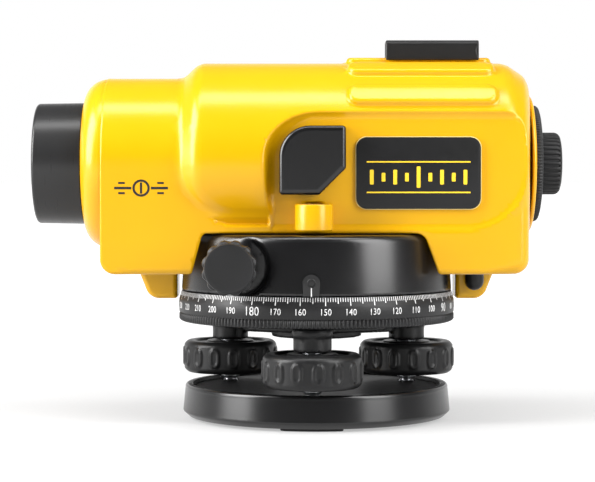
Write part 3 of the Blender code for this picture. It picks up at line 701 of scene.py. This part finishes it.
def make_eyepiece():
    axis = (0, 0, SIGHT_Z)
    collar, cover, ring = Span("rear_collar"), Span("eyepiece_cover"), Span("diopter_ring")
    radius = half(collar.z)
    section = [(12.2, collar.x[0] - 0.25)]
    section += [(radius - 0.4, collar.x[0] - 0.25), (radius, collar.x[0] + 0.2)]
    section += swap(arc((collar.x[1] - 1.2, radius - 1.2), 1.2, 90, 0, 6))
    section.append((12.2, collar.x[1]))
    obj = lathe("turned_collar", section, YELLOW, "X", axis, 192)
    install(obj, "alidade", "yellow_enamel", "rear_collar")
    radius = half(cover.z)
    low, high = cover.x
    knurls = 120
    knurled = fluted(knurls, 0.45, (low + 0.35, high - 0.3), radius - 0.8, lambda wave: wave)
    section = [(12.2, low)] + near(radius, low, (-0.7, 0), (-0.35, 0.3), (0, 0.6))
    section += near(radius, high, (-0.02, -1.4), (-0.25, -0.8), (-0.75, -0.28), (-1.6, 0))
    section += near(0, high, (18.4, 0), (18.0, -0.35), (14.4, -0.35), (14.0, 0), (12.2, 0))
    obj = lathe("knurled_eyepiece_cover", section, MATT, "X", axis, knurls * 6, knurled)
    install(obj, "alidade", "black_plastic", "eyepiece_cover")
    radius = half(ring.z)
    low, high = ring.x
    ribs = 36
    ribbed = fluted(ribs, 0.75, (low + 0.5, high - 0.9), radius - 1.0, lambda wave: min(1.0, 1.6 * wave**2))
    section = [(8.6, low)] + near(radius, low, (-0.9, 0), (-0.3, 0.45), (0, 0.9))
    section += near(radius, high, (0, -2.4), (-0.15, -1.5), (-0.55, -0.85), (-1.3, -0.2), (-2.0, 0))
    section += near(0, high, (9.6, 0), (9.2, -0.5), (8.6, -1.2))
    obj = lathe("ribbed_diopter_ring", section, MATT, "X", axis, ribs * 14, ribbed)
    install(obj, "diopter", "black_plastic", "diopter_ring")
    lens = Span("eye_lens")
    rim = half(lens.z)
    section = cap(lens.x[1], rim, 1.1, -1, 10) + cap(lens.x[0], rim, 1.1, 1, 10)[::-1]
    obj = lathe("eye_lens_glass", section, LENS, "X", axis, 96)
    install(obj, "eye_cell", "optical_glass", "eye_lens")
    cell = Span("eye_lens_cell")
    outer = half(cell.z)
    low, high = cell.x
    section = [(6.5, low), (outer, low)] + near(outer, high, (0, -0.4), (-0.4, 0))
    section += [(7.2, high), (6.5, high - 0.7)]
    obj = lathe("turned_eye_cell", section, ANODISED_X, "X", axis, 96)
    install(obj, "eye_cell", "black_anodised", "eye_lens_cell")


def make_focus_knob():
    span = Span("focus_knob")
    centre = (FOCUS_X, 0, SIGHT_Z)
    radius = half(span.z)
    low, high = span.y
    ribs = 32
    ribbed = fluted(ribs, 0.9, (low + 1.3, high - 2.2), radius - 1.2, lambda wave: min(1.0, 1.5 * wave**2))
    section = [(2.9, low)] + near(radius, low, (-2.2, 0), (-0.6, 0.5), (0, 1.4), (0, 1.9))
    section += near(radius, high, (0, -3.2), (-0.1, -2.4), (-0.6, -1.3), (-1.6, -0.4), (-2.8, 0), (-4.0, 0))
    section += [(radius - 4.6, high - 0.9)] + near(0, high, (5.5, -1.1), (4.9, -0.6), (0, -0.6))
    obj = lathe("ribbed_focus_knob", section, MATT, "Y", centre, ribs * 14, ribbed)
    install(obj, "focus_drive", "black_plastic", "focus_knob")


# ---- vial, prism cover, plate and sight


def make_prism_cover():
    """Rounded box with one corner cut at 45 degrees; each step is an inset of its outline and a depth."""
    span = Span("prism_cover")
    left, right = span.x
    low, high = span.z
    front, back = span.y
    chamfer = 10.4

    def outline(inset):
        shift = chamfer + (math.sqrt(2) - 1) * inset
        small = max(0.3, 1.4 - inset)
        return softened([(left + inset, low + inset, small), (right - shift, low + inset, small),
                         (right - inset, low + shift, small), (right - inset, high - inset, small),
                         (left + inset, high - inset, 12.0 - inset)], 10)

    bm = bmesh.new()
    steps = [(2.6, back - 1.5), (2.6, back), (0.0, back), (0.0, front + 1.5), (0.12, front + 1.0)]
    steps += [(0.45, front + 0.5), (0.95, front + 0.16), (1.5, front), (2.2, front)]
    rings = [[bm.verts.new(place(u, y, v)) for u, v in outline(inset)] for inset, y in steps]
    for first, second in zip(rings, rings[1:]):
        bridge(bm, first, second)
    bm.faces.new(rings[0])
    bm.faces.new(rings[-1])
    obj = new_piece("moulded_prism_cover", finish_bmesh(bm, "moulded_prism_cover"), GLOSS, 40.0)
    install(obj, "alidade", "black_gloss", "prism_cover")


def make_vial():
    centre = (*VIAL_SPOT, 0)
    glass_span = Span("circular_vial")
    radius = half(glass_span.x)
    low, top = glass_span.z[0], glass_span.z[1] - 0.9
    dome = arc((0, top - 9.0), 9.0, 90, 68, 8)
    dome[0] = (0, top)
    section = dome + [(radius, top - 0.9), (radius, low), (0, low)]
    obj = lathe("vial_glass", section, VIAL_FLUID, "Z", centre, 96)
    install(obj, "alidade", "optical_glass", "circular_vial")
    outer = half(VIAL.x)
    low, high = VIAL.z
    section = [(0, low), (outer, low), (outer, high - 0.2), (outer - 0.2, high), (5.7, high)]
    section += [(5.6, high - 0.2), (5.6, low + 1.4), (0, low + 1.4)]
    obj = lathe("vial_holder", section, MATT, "Z", centre, 96)
    install(obj, "alidade", "black_anodised", "vial_cup")


def make_name_plate():
    """Blank plate with a thin light border and, in place of lettering, plain bars between two rules."""
    span = Span("name_plate")
    face, back = span.y
    border_x, border_z = [(low - 0.3, high + 0.3) for low, high in (span.x, span.z)]
    border = box_outline(border_x, border_z, 4.4, 8)
    rim = slab("plate_border", border, face + 0.35, back, CREAM, "Y", 0.15, 2)
    board = slab("plate_board", box_outline(span.x, span.z, 4.1, 8), face, back - 0.2, SATIN, "Y", 0.3, 3)
    install(joined("name_plate_blank", rim, board), "alidade", "black_gloss", "name_plate")
    centre_x, centre_z = middle(span.x), middle(span.z) - 1.6
    outlines = {}
    for k, offset in enumerate((6.0, -6.0)):
        outlines[f"rule_{k}"] = box_outline(about(centre_x, 20.4), about(centre_z + offset, 0.28))
    for k in range(9):
        tall = 4.2 if k == 4 else (2.9 if k % 2 == 0 else 1.7)
        bar_x = about(centre_x + (k - 4) * 4.6, 0.75)
        outlines[f"bar_{k}"] = box_outline(bar_x, about(centre_z, tall), 0.3, 3)
    low, high = face - 0.06, face + 0.05
    marks = [slab(name, outline, low, high, PLATE_YELLOW) for name, outline in outlines.items()]
    install(joined("name_plate_marks", *marks), "alidade", "yellow_enamel")


def make_front_mark():
    """Generic sighting mark printed on the front section: a circle with a staff and stadia lines."""
    front, back = about(-FRONT_R, 0.05)
    centre_x, centre_z = -69.4, 92.4
    ring = [(2.5, front), (3.4, front), (3.4, back), (2.5, back)]
    marks = [lathe("mark_ring", ring, BLACK_PRINT, "Y", (centre_x, 0, centre_z), 64)]
    bars = [((-10.6, -3.9), (-0.5, 0.5)), ((3.9, 10.6), (-0.5, 0.5)), ((-0.45, 0.45), (-2.2, 2.2))]
    for x_span in ((-9.0, -6.4), (6.4, 9.0)):
        bars += [(x_span, (1.6, 2.4)), (x_span, (-2.4, -1.6))]
    for k, (x_span, z_span) in enumerate(bars):
        outline = box_outline([centre_x + x for x in x_span], [centre_z + z for z in z_span])
        marks.append(slab(f"mark_{k}", outline, front, back, BLACK_PRINT))
    install(joined("front_mark", *marks), "alidade", "black_plastic")


def make_sight():
    span = Span("peep_sight")
    low, high = span.z
    width = half(span.y)
    tunnel_y, tunnel_z, notch_z = (-2.6, 2.6), (146.8, 151.2), 146.0

    def sight_field(x, y, z):
        bevel = (np.abs(y) - width + (z - high) + 1.3) / math.sqrt(2)
        body = both(both(np.abs(y) - width, z - high, 0.3), bevel, 0.2)
        body = both(body, low - z, 0.3)
        body = both(body, slab_field(x, span.x), 0.35)
        body = without(body, np.maximum(np.abs(y) - 4.8, z - notch_z), 0.3)
        return without(body, rectangle(y, z, tunnel_y, tunnel_z, 0.6), 0.5)

    corners = (span.x[0], -width, low), (span.x[1], width, high)
    obj = field_piece("moulded_peep_sight", sight_field, *corners, 0.4, SATIN)
    install(obj, "alidade", "black_plastic", "peep_sight")


# ---- bell, circle and drive

BELL_R = half(BELL.x)
BELL_WALL = 2.8
DRIVE = Span("drive_knob_near")
DRIVE_X, DRIVE_Z = middle(DRIVE.x), middle(DRIVE.z)
POCKET_X = DRIVE_X + 3.0  # the scooped pocket behind each drive knob is wider towards the eyepiece
POCKET_R, POCKET_Y = 12.0, 45.6
BACKING_R, BACKING_Y = 13.6, 42.0
DRIVE_BOSS_R, DRIVE_BOSS_Y = 6.4, (34.0, 47.7)
DRIVE_BORE_R, SPINDLE_BORE_R = 3.4, 9.0


def bell_form(radius, z):
    """Outer form of the bell: a short upright skirt below a cone."""
    skirt = radius - BELL_R
    cone = line_field(radius, z, (BELL_R, BELL.z[0] + 5.5), (BELL_R - 2.4, BELL.z[1] - 0.6))
    return both(both(skirt, -cone, 4.0), z - BELL.z[1], 3.0)


def bell_field(x, y, z):
    radius = np.hypot(x, y)
    body = both(bell_form(radius, z), BELL.z[0] - z, 0.6)
    inside = np.maximum(bell_form(radius + BELL_WALL, z), z - BELL.z[1] + 3.0)
    from_pocket = np.hypot(x - POCKET_X, z - DRIVE_Z)
    from_drive = np.hypot(x - DRIVE_X, z - DRIVE_Z)
    backing = both(from_pocket - BACKING_R, BACKING_Y - np.abs(y), 0.5)
    body = np.minimum(without(body, inside, 0.4), np.maximum(backing, bell_form(radius, z)))
    body = without(body, both(from_pocket - POCKET_R, POCKET_Y - np.abs(y), 1.5), 1.8)
    boss = both(from_drive - DRIVE_BOSS_R, slab_field(np.abs(y), DRIVE_BOSS_Y), 0.5)
    body = without(either(body, boss, 0.4), from_drive - DRIVE_BORE_R, 0.3)
    return without(body, np.maximum(radius - SPINDLE_BORE_R, 60.0 - z), 0.4)


def make_bell():
    low = (-BELL_R, -BELL_R, BELL.z[0])
    high = (BELL_R, BELL_R, BELL.z[1])
    step = 0.75
    obj = field_piece("moulded_bell", bell_field, low, high, step, GLOSS)
    install(obj, "alidade", "black_gloss", "bell")


def make_index():
    span = Span("circle_index")
    centre_x = middle(span.x)
    radius = half(span.x)
    front, back = span.y
    outline = [(centre_x - radius, span.z[0]), (centre_x + radius, span.z[0])]
    outline += arc((centre_x, span.z[1] - radius), radius, 0, 180, 24)
    obj = slab("index_tab", outline, front, back + 0.2, GLOSS, "Y", 0.5, 4)
    install(obj, "alidade", "black_plastic", "circle_index")
    section = [(1.0, front - 0.12), (1.55, front - 0.25), (1.75, front - 0.1)]
    section += [(1.75, front + 0.2), (1.0, front + 0.2)]
    ring = lathe("index_ring", section, SATIN, "Y", (centre_x, 0, span.z[1] - radius), 48)
    outline = box_outline(about(centre_x, 0.2), (span.z[0] + 0.1, span.z[0] + 3.9))
    line = slab("index_line", outline, front - 0.05, front + 0.1, WHITE_PRINT)
    install(joined("index_marks", ring, line), "alidade", "black_plastic")


CIRCLE_R = half(CIRCLE.x)
KNURL_TOP = CIRCLE.z[0] + 3.7
NUMBER_Z = CIRCLE.z[0] + 6.5
BEVEL_Z = (CIRCLE.z[0] + 8.9, CIRCLE.z[1])
BEVEL_INSET = 1.1
KNURLS = 216
INDEX_READING = 155.6  # degrees on the circle under the index mark


def circle_angle(reading):
    """Angle round the vertical axis of a reading: readings fall towards +X on the near side."""
    index_x = middle(Span("circle_index").x)
    return math.radians(-90 + INDEX_READING - reading) + math.asin(index_x / CIRCLE_R)


def on_circle(u, height, angle, radius):
    turn = angle + u / radius
    return place(radius * math.cos(turn), radius * math.sin(turn), height)


def number_mesh(text, size):
    curve = bpy.data.curves.new("number", "FONT")
    curve.body = text
    curve.size = size
    curve.align_x = "CENTER"
    curve.align_y = "CENTER"
    curve.resolution_u = 3
    curve.space_character = 1.05
    obj = bpy.data.objects.new("number", curve)
    bpy.context.scene.collection.objects.link(obj)
    bpy.context.view_layer.update()
    mesh = bpy.data.meshes.new_from_object(obj.evaluated_get(bpy.context.evaluated_depsgraph_get()))
    bpy.data.objects.remove(obj, do_unlink=True)
    bpy.data.curves.remove(curve)
    return mesh


def bevel_radius(z):
    share = (z - BEVEL_Z[0]) / (BEVEL_Z[1] - BEVEL_Z[0])
    return CIRCLE_R - BEVEL_INSET * share


def make_circle():
    """Knurled ring with a bevelled edge on top."""
    low, edge = CIRCLE.z[0], CIRCLE_R
    knurled = fluted(KNURLS, 0.55, (low + 0.5, KNURL_TOP - 0.2), edge - 0.7, lambda wave: wave**1.5)
    section = near(0, CIRCLE.z[1], (20.6, -3.2), (52.0, -3.2))
    section += [(52.0, low)] + near(edge, low, (-1.2, 0), (-0.5, 0.3), (0, 0.9))
    section += near(edge, KNURL_TOP, (0, -0.9), (-0.3, -0.4), (-0.6, -0.2), (-0.6, 0), (-0.1, 0.05), (0, 0.2))
    section += near(edge, BEVEL_Z[0], (0, -0.1), (-0.04, 0))
    section += [(edge - BEVEL_INSET, BEVEL_Z[1]), (20.6, BEVEL_Z[1])]
    body = lathe("circle_body", section, GREY, "Z", (0, 0, 0), KNURLS * 6, knurled)
    install(body, "circle", "grey_plastic", "horizontal_circle")


def make_degree_ticks():
    """A short box for each degree, longer at every fifth and tenth, half sunk in the bevelled edge."""
    bm = bmesh.new()
    top = BEVEL_Z[1] - 0.12
    sides = ((0, 1, 2, 3), (7, 6, 5, 4), (0, 4, 5, 1), (1, 5, 6, 2), (2, 6, 7, 3), (3, 7, 4, 0))
    for degree in range(360):
        tall = 1.6 if degree % 5 else (2.3 if degree % 10 else 3.1)
        width = 0.13 if degree % 5 else 0.17
        angle = circle_angle(degree)
        corners = []
        for lift in (0.05, -0.1):
            for u, z in ((-width, top), (-width, top - tall), (width, top - tall), (width, top)):
                radius = min(bevel_radius(z), CIRCLE_R) + lift
                corners.append(bm.verts.new(on_circle(u, z, angle, radius)))
        for side in sides:
            bm.faces.new([corners[k] for k in side])
    ticks = new_piece("circle_ticks", finish_bmesh(bm, "circle_ticks"), WHITE_PRINT, 30.0)
    install(ticks, "circle", "grey_plastic")


def make_degree_numbers():
    """A number every ten degrees below the ticks, larger at the quarters."""
    bm = bmesh.new()
    for reading in range(0, 360, 10):
        mesh = number_mesh(str(reading), 3.6 if reading % 90 else 5.0)
        angle = circle_angle(reading)
        count = len(bm.verts)
        bm.from_mesh(mesh)
        bm.verts.ensure_lookup_table()
        for vert in list(bm.verts)[count:]:
            vert.co = on_circle(0.84 * vert.co.x, NUMBER_Z + vert.co.y, angle, CIRCLE_R + 0.04)
        bpy.data.meshes.remove(mesh)
    numbers = new_piece("circle_numbers", thickened(bm, "circle_numbers"), WHITE_PRINT, None)
    install(numbers, "circle", "grey_plastic")


def thickened(bm, name):
    """Flat lettering as a thin closed relief: its faces are extruded outwards."""
    axis = place(0, 0, 0)

    def outward(point):
        return Vector((point.x - axis.x, point.y - axis.y, 0))

    bm.normal_update()
    for face in bm.faces:
        if face.normal.dot(outward(face.calc_center_median())) < 0:
            face.normal_flip()
    result = bmesh.ops.extrude_face_region(bm, geom=list(bm.faces))
    for item in result["geom"]:
        if isinstance(item, bmesh.types.BMVert):
            item.co += outward(item.co).normalized() * (0.12 * MM)
    return finish_bmesh(bm, name)


def make_drive_knobs():
    for name, side in (("near", -1), ("far", 1)):
        span = Span("drive_knob_" + name)
        inner, outer = sorted((abs(span.y[0]), abs(span.y[1])))
        radius = half(span.z)
        count = 12

        def scallops(r, along, angle, radius=radius, inner=inner):
            depth = max(0.0, min(1.0, (abs(along) - inner - 1.5) / 2.5))
            wave = 0.5 + 0.5 * math.cos(count * angle)
            return r - (0.85 * depth * wave**1.6 if r > radius - 1.3 else 0.0)

        section = [(2.4, inner)] + near(radius, inner, (-3.4, 0), (-1.6, 1.0), (-0.5, 2.6), (-0.2, 4.2))
        section += near(radius, outer, (-0.2, -2.8), (-0.4, -2.2), (-1.0, -1.8), (-1.35, -1.5), (-1.35, -0.6))
        section += near(radius, outer, (-1.6, -0.2), (-2.1, 0), (-2.7, 0))
        section += near(0, outer, (0, 0), (0, -2.4), (2.4, -2.4))
        section = [(r, side * along) for r, along in section]
        centre = (DRIVE_X, 0, DRIVE_Z)
        obj = lathe("fluted_drive_knob_" + name, section, GREY, "Y", centre, count * 20, scallops)
        install(obj, "drive", "grey_plastic", "drive_knob_" + name)


def make_check_button():
    span = Span("check_button")
    centre = (middle(span.x), middle(span.y), 0)
    radius = half(span.x)
    low, high = span.z
    tip = arc((0, low + radius), radius, -90, 0, 10)
    tip[0] = (0, low)
    section = tip + [(radius, low + 21.5), (radius - 0.4, low + 21.9), (3.4, low + 21.9)]
    section += [(3.4, high - 0.3), (3.1, high), (0, high)]
    obj = lathe("round_check_button", section, SATIN, "Z", centre, 72)
    install(obj, "button", "black_plastic", "check_button")


# ---- tribrach, foot screws and foot

SCREW_NAMES = ("front", "rear_left", "rear_right")
BALL_R = 4.2
STUD_PITCH = 1.0
BUSH_PITCH = 1.58
TRIBRACH = Span("tribrach")


def screw_spot(name):
    span = Span("foot_screw_" + name)
    return middle(span.x), middle(span.y)


PLATE_R, PLATE_Z = 31.0, (34.8, 37.8)
HUB_R, HUB_TOP = 18.5, 40.0
COLUMN_R, COLUMN_FOOT = 20.0, 35.0
SCREW_BOSS_R, SCREW_BOSS_TOP, SCREW_BORE_R = 7.5, 37.0, 5.3
ARM_REACH, ARM_WIDTH = (10.0, 50.4), (-7.7, 7.7)
WEB_REACH, WEB_Z, WEB_HALF_WIDTH = (17.0, 38.0), (31.8, 36.0), 1.3
SLEEVE_BORE_R, NUT_BORE_R, BORE_STEP_Z = 12.7, 14.3, 36.2


def tribrach_field(x, y, z):
    radius = np.hypot(x, y)
    plate = both(radius - PLATE_R, slab_field(z, PLATE_Z), 0.8)
    hub = both(radius - HUB_R, slab_field(z, (TRIBRACH.z[0] + 2.9, HUB_TOP)), 0.8)
    column = both(radius - COLUMN_R, slab_field(z, (COLUMN_FOOT, TRIBRACH.z[1])), 0.5)
    body = either(either(plate, hub, 1.5), column, 0.8)
    for name in SCREW_NAMES:
        sx, sy = screw_spot(name)
        reach = np.hypot(x - sx, y - sy)
        boss = both(reach - SCREW_BOSS_R, slab_field(z, (TRIBRACH.z[0], SCREW_BOSS_TOP)), 0.7)
        body = either(body, boss, 1.2)
        along = (x * sx + y * sy) / math.hypot(sx, sy)
        across = np.abs(x * sy - y * sx) / math.hypot(sx, sy)
        arm = both(rectangle(along, across, ARM_REACH, ARM_WIDTH, 6.0), slab_field(z, PLATE_Z), 0.8)
        body = either(body, arm, 1.5)
        web = np.maximum(across - WEB_HALF_WIDTH, slab_field(along, WEB_REACH))
        body = either(body, np.maximum(web, slab_field(z, WEB_Z)), 0.8)
        body = without(body, np.maximum(reach - SCREW_BORE_R, z - SCREW_BOSS_TOP), 0.3)
    sleeve_bore = np.maximum(radius - SLEEVE_BORE_R, BORE_STEP_Z - z)
    nut_bore = np.maximum(radius - NUT_BORE_R, z - BORE_STEP_Z)
    return without(body, np.minimum(sleeve_bore, nut_bore), 0.3)


def make_tribrach():
    low = (-50.0, -51.0, TRIBRACH.z[0])
    high = (50.0, 50.0, TRIBRACH.z[1])
    obj = field_piece("cast_tribrach", tribrach_field, low, high, 0.9, SATIN)
    install(obj, "tribrach", "black_plastic", "tribrach")


def make_foot_knobs():
    """Foot-screw wheels with fifteen stadium-shaped grips standing on a drum."""
    grips = 15
    for name in SCREW_NAMES:
        node = "foot_screw_knob_" + name
        span = Span(node)
        spot = (*screw_spot(name), 0)
        radius = half(span.y) if name == "front" else half(span.x)
        low, high = span.z
        tall = high - low

        def grip_shape(r, along, angle, radius=radius, low=low, tall=tall):
            if r < radius - 1.3:
                return r
            across = ((angle * grips / (2 * math.pi)) % 1.0 - 0.5) * 2 * math.pi * radius / grips
            reach = max(abs(along - low - tall / 2) - (tall / 2 - 5.1), 0.0)
            distance = math.hypot(across, reach) - 2.3
            rise = max(0.0, min(1.0, 0.5 - distance / 0.9))
            dish = 0.35 * max(0.0, min(1.0, -(distance + 0.9) / 0.7))
            return r - 0.6 + 0.6 * rise * rise * (3 - 2 * rise) - dish

        top = high - 0.1
        section = near(0, low, (5.3, 0.3), (6.0, 0), (12.0, 0), (13.0, 0.4))
        section += near(radius, low, (-5.0, 0.4), (-4.2, 0), (-2.4, 0.05), (-1.2, 0.4), (-0.5, 1.0))
        steps = 14
        section += [(radius, low + 1.8 + (tall - 3.6) * k / steps) for k in range(steps + 1)]
        section += near(radius, high, (-0.5, -1.0), (-1.2, -0.4))
        section += near(radius, top, (-2.4, 0), (-4.2, 0), (-5.0, -0.1), (-5.8, -0.9))
        section += near(0, top, (10.4, -0.9), (9.6, 0), (6.0, 0), (5.3, -0.4))
        obj = lathe("gripped_" + node, section, SATIN, "Z", spot, grips * 24, grip_shape)
        install(obj, "knob_" + name, "black_plastic", node)


def make_foot_screws():
    """Threaded studs with ball ends; the thread is cut as close rings."""
    for name in SCREW_NAMES:
        node = "foot_screw_" + name
        span = Span(node)
        spot = (*screw_spot(name), 0)
        low, high = span.z
        ball = arc((0, low + BALL_R), BALL_R, -90, 44, 14)
        ball[0] = (0, low)
        section = ball + [(2.8, 11.4), (2.8, 11.8), (3.5, 12.4)]
        z = 12.6
        while z < high - 1.2:
            section += [(3.55, z), (4.1, z + 0.4 * STUD_PITCH), (4.1, z + 0.6 * STUD_PITCH)]
            z += STUD_PITCH
        section += [(3.5, high - 0.5), (3.0, high), (0, high)]
        obj = lathe("threaded_" + node, section, STEEL, "Z", spot, 64)
        install(obj, "screw_" + name, "steel", node)


def make_foot_plate():
    span = Span("foot_plate")
    radius = half(span.x)
    low, high = span.z[0] + 1.0, span.z[1]
    floor = 9.9
    section = near(0, low, (10.3, 0), (46.0, 0), (46.6, 1.6), (49.4, 1.6), (50.0, 0))
    section += near(radius, low, (-2.6, 0), (-2.3, 0.1), (-0.5, 1.7), (-0.1, 2.1), (0, 2.5), (-0.05, 2.9))
    section += near(radius, high, (-0.85, -2.0), (-0.9, -1.6))
    section += arc((radius - 2.1, high - 1.2), 1.2, 10, 90, 6)
    section += near(radius, high, (-3.7, 0), (-4.0, -0.3)) + near(radius, floor, (-4.2, 0.3), (-4.5, 0))
    section += near(0, floor, (10.6, 0), (10.3, -0.3))
    parts = [lathe("plate_disc", section, GLOSS, "Z", (0, 0, 0), 192)]
    for name in SCREW_NAMES:
        sx, sy = screw_spot(name)
        angle = math.degrees(math.atan2(sy, sx))
        outer = arc((0, 0), radius - 4.0, angle - 14, angle + 14, 14)
        inner = arc((0, 0), radius - 14, angle + 14, angle - 14, 10)
        parts.append(slab("pad_" + name, outer + inner, span.z[0], low + 0.3, SATIN, "Z", 0.5, 3))
    install(joined("foot_disc", *parts), "foot", "black_gloss", "foot_plate")
    bush = Span("tripod_thread_bush")
    low, high = bush.z
    section = [(9.98, low + 0.3), (9.98, high - 0.3), (9.6, high), (7.9, high)]
    z = high - 0.5
    while z > low + 1.6:
        section += [(7.2, z), (7.2, z - 0.3), (7.85, z - 1.0), (7.85, z - 1.2)]
        z -= BUSH_PITCH
    section += [(7.2, z), (8.1, low), (9.6, low)]
    obj = lathe("threaded_tripod_bush", section, BRASS, "Z", (0, 0, 0), 96)
    install(obj, "foot", "brass", "tripod_thread_bush")


# ---- pieces whose CAD shape is right


def dress_cad_nodes():
    finishes = {
        ANODISED_X: ("objective_cell", "telescope_barrel", "eyepiece_tube", "focus_carriage"),
        MATT: ("ball_retaining_plate",),
        BRASS: ("bearing_sleeve", "drive_gear", "reticle_holder", "pendulum"),
        STEEL: ("spindle", "spindle_nut", "drive_shaft", "focus_shaft", "suspension_tape_near",
                "suspension_tape_far"),
        CAST: ("chassis_plate", "compensator_frame"),
        GLASS: ("focusing_lens", "reticle", "pendulum_prism", "fixed_prism_front", "fixed_prism_rear",
                "viewing_prism"),
        MAGNET: ("damping_magnet",),
    }
    for material, nodes in finishes.items():
        for node in nodes:
            data = frame["nodes"][node].data
            data.materials.clear()
            data.materials.append(material)


make_housing()
make_lugs()
make_nose()
make_eyepiece()
make_focus_knob()
make_prism_cover()
make_vial()
make_name_plate()
make_front_mark()
make_sight()
make_bell()
make_index()
make_circle()
make_degree_ticks()
make_degree_numbers()
make_drive_knobs()
make_check_button()
make_tribrach()
make_foot_knobs()
make_foot_screws()
make_foot_plate()
dress_cad_nodes()


# ---- stage, light and camera


def floor_paint():
    """White table that glows more and more away from the object, to meet the white backdrop unseen."""
    material = print_paint("floor_paint", (0.30, 0.30, 0.30), 0.7)
    tree = material.node_tree
    coordinates = tree.nodes.new("ShaderNodeTexCoord")
    length = tree.nodes.new("ShaderNodeVectorMath")
    length.operation = "LENGTH"
    tree.links.new(coordinates.outputs["Object"], length.inputs[0])
    glow = map_range(tree, length.outputs["Value"], 0.45, 1.0, 0.05, 0.80)
    tree.links.new(glow, shader_inputs(material)["Emission Strength"])
    shader_inputs(material)["Emission Color"].default_value = (1.0, 1.0, 1.0, 1.0)
    return material


def make_floor():
    bm = bmesh.new()
    turns = [2 * math.pi * k / 96 for k in range(96)]
    rings = [[bm.verts.new((radius * math.cos(t), radius * math.sin(t), 0.0)) for t in turns]
             for radius in (0.3, 1.0, 3.0, 9.0, 30.0)]
    bm.faces.new(rings[0])
    for inner, outer in zip(rings, rings[1:]):
        bridge(bm, inner, outer)
    floor = new_piece("floor", finish_bmesh(bm, "floor"), floor_paint())


def area_light(name, spot, target, size, radiance):
    """White rectangle of the size (width, height) at the spot, facing the target."""
    light = bpy.data.lights.new(name, "AREA")
    light.shape = "RECTANGLE"
    light.size, light.size_y = size
    light.energy = radiance * math.pi * size[0] * size[1]
    obj = bpy.data.objects.new(name, light)
    bpy.context.scene.collection.objects.link(obj)
    obj.location = spot
    obj.rotation_euler = (Vector(target) - Vector(spot)).to_track_quat("-Z", "Y").to_euler()


def blended(tree, share, source, value):
    """The source's value where share is 0, moving to the given value where share is 1."""
    mix = tree.nodes.new("ShaderNodeMix")
    tree.links.new(share, mix.inputs["Factor"])
    tree.links.new(source, mix.inputs["A"])
    mix.inputs["B"].default_value = value
    return mix.outputs["Result"]


def light_world(tree):
    """White backdrop behind the object, dim room on the camera's side; seen directly, white all round."""
    background = tree.nodes["Background"]
    coordinates = tree.nodes.new("ShaderNodeTexCoord")
    split = tree.nodes.new("ShaderNodeSeparateXYZ")
    tree.links.new(coordinates.outputs["Generated"], split.inputs["Vector"])
    room = map_range(tree, split.outputs["Y"], ROOM_LEVEL, 1.0, 0.0, 0.7, "SMOOTHSTEP")
    overhead = map_range(tree, split.outputs["Z"], 0.0, 1.0, 0.25, 0.6, "SMOOTHSTEP")
    lit = blended(tree, overhead, room, CEILING_LEVEL)
    path = tree.nodes.new("ShaderNodeLightPath")
    seen = blended(tree, path.outputs["Is Camera Ray"], lit, 1.0)
    tree.links.new(seen, background.inputs["Strength"])
    background.inputs["Color"].default_value = (1.0, 1.0, 1.0, 1.0)


ROOM_LEVEL = 0.06
CEILING_LEVEL = 0.20
SOFTBOXES = (  # name, azimuth from the camera's side, elevation, distance, width, height, radiance
    ("left_softbox", -72.0, 25.0, 1.0, 0.55, 0.90, 13.0),
    ("right_softbox", 53.0, 27.0, 1.0, 0.50, 0.95, 8.0),
)
OVERHEAD = (1.15, 1.20, 0.26, 8.5)  # height, length, width, radiance


def make_lights():
    aim = Vector((0.0, 0.0, 0.08))
    for name, azimuth, elevation, distance, width, height, radiance in SOFTBOXES:
        turn, rise = math.radians(azimuth), math.radians(elevation)
        across = math.cos(rise)
        away = Vector((math.sin(turn) * across, -math.cos(turn) * across, math.sin(rise)))
        area_light(name, aim + distance * away, aim, (width, height), radiance)
    height, length, width, radiance = OVERHEAD
    area_light("overhead_softbox", (0.0, -0.22, height), (0.0, 0.0, 0.1), (length, width), radiance)
    world = bpy.data.worlds.new("studio")
    bpy.context.scene.world = world
    world.use_nodes = True
    light_world(world.node_tree)
    bpy.context.scene.view_settings.view_transform = "Standard"


CAMERA_SPOT = Vector((-0.0005, -0.8100, 0.09815))
CAMERA_AIM = Vector((-0.0005, 0.0, 0.07223))


def make_camera():
    camera = bpy.data.cameras.new("camera")
    camera.lens = 119.1
    camera.sensor_width = 36.0
    camera.clip_start = 0.01
    obj = bpy.data.objects.new("camera", camera)
    bpy.context.scene.collection.objects.link(obj)
    obj.location = CAMERA_SPOT
    obj.rotation_euler = (CAMERA_AIM - CAMERA_SPOT).to_track_quat("-Z", "Y").to_euler()
    bpy.context.scene.camera = obj


make_floor()
make_lights()
make_camera()
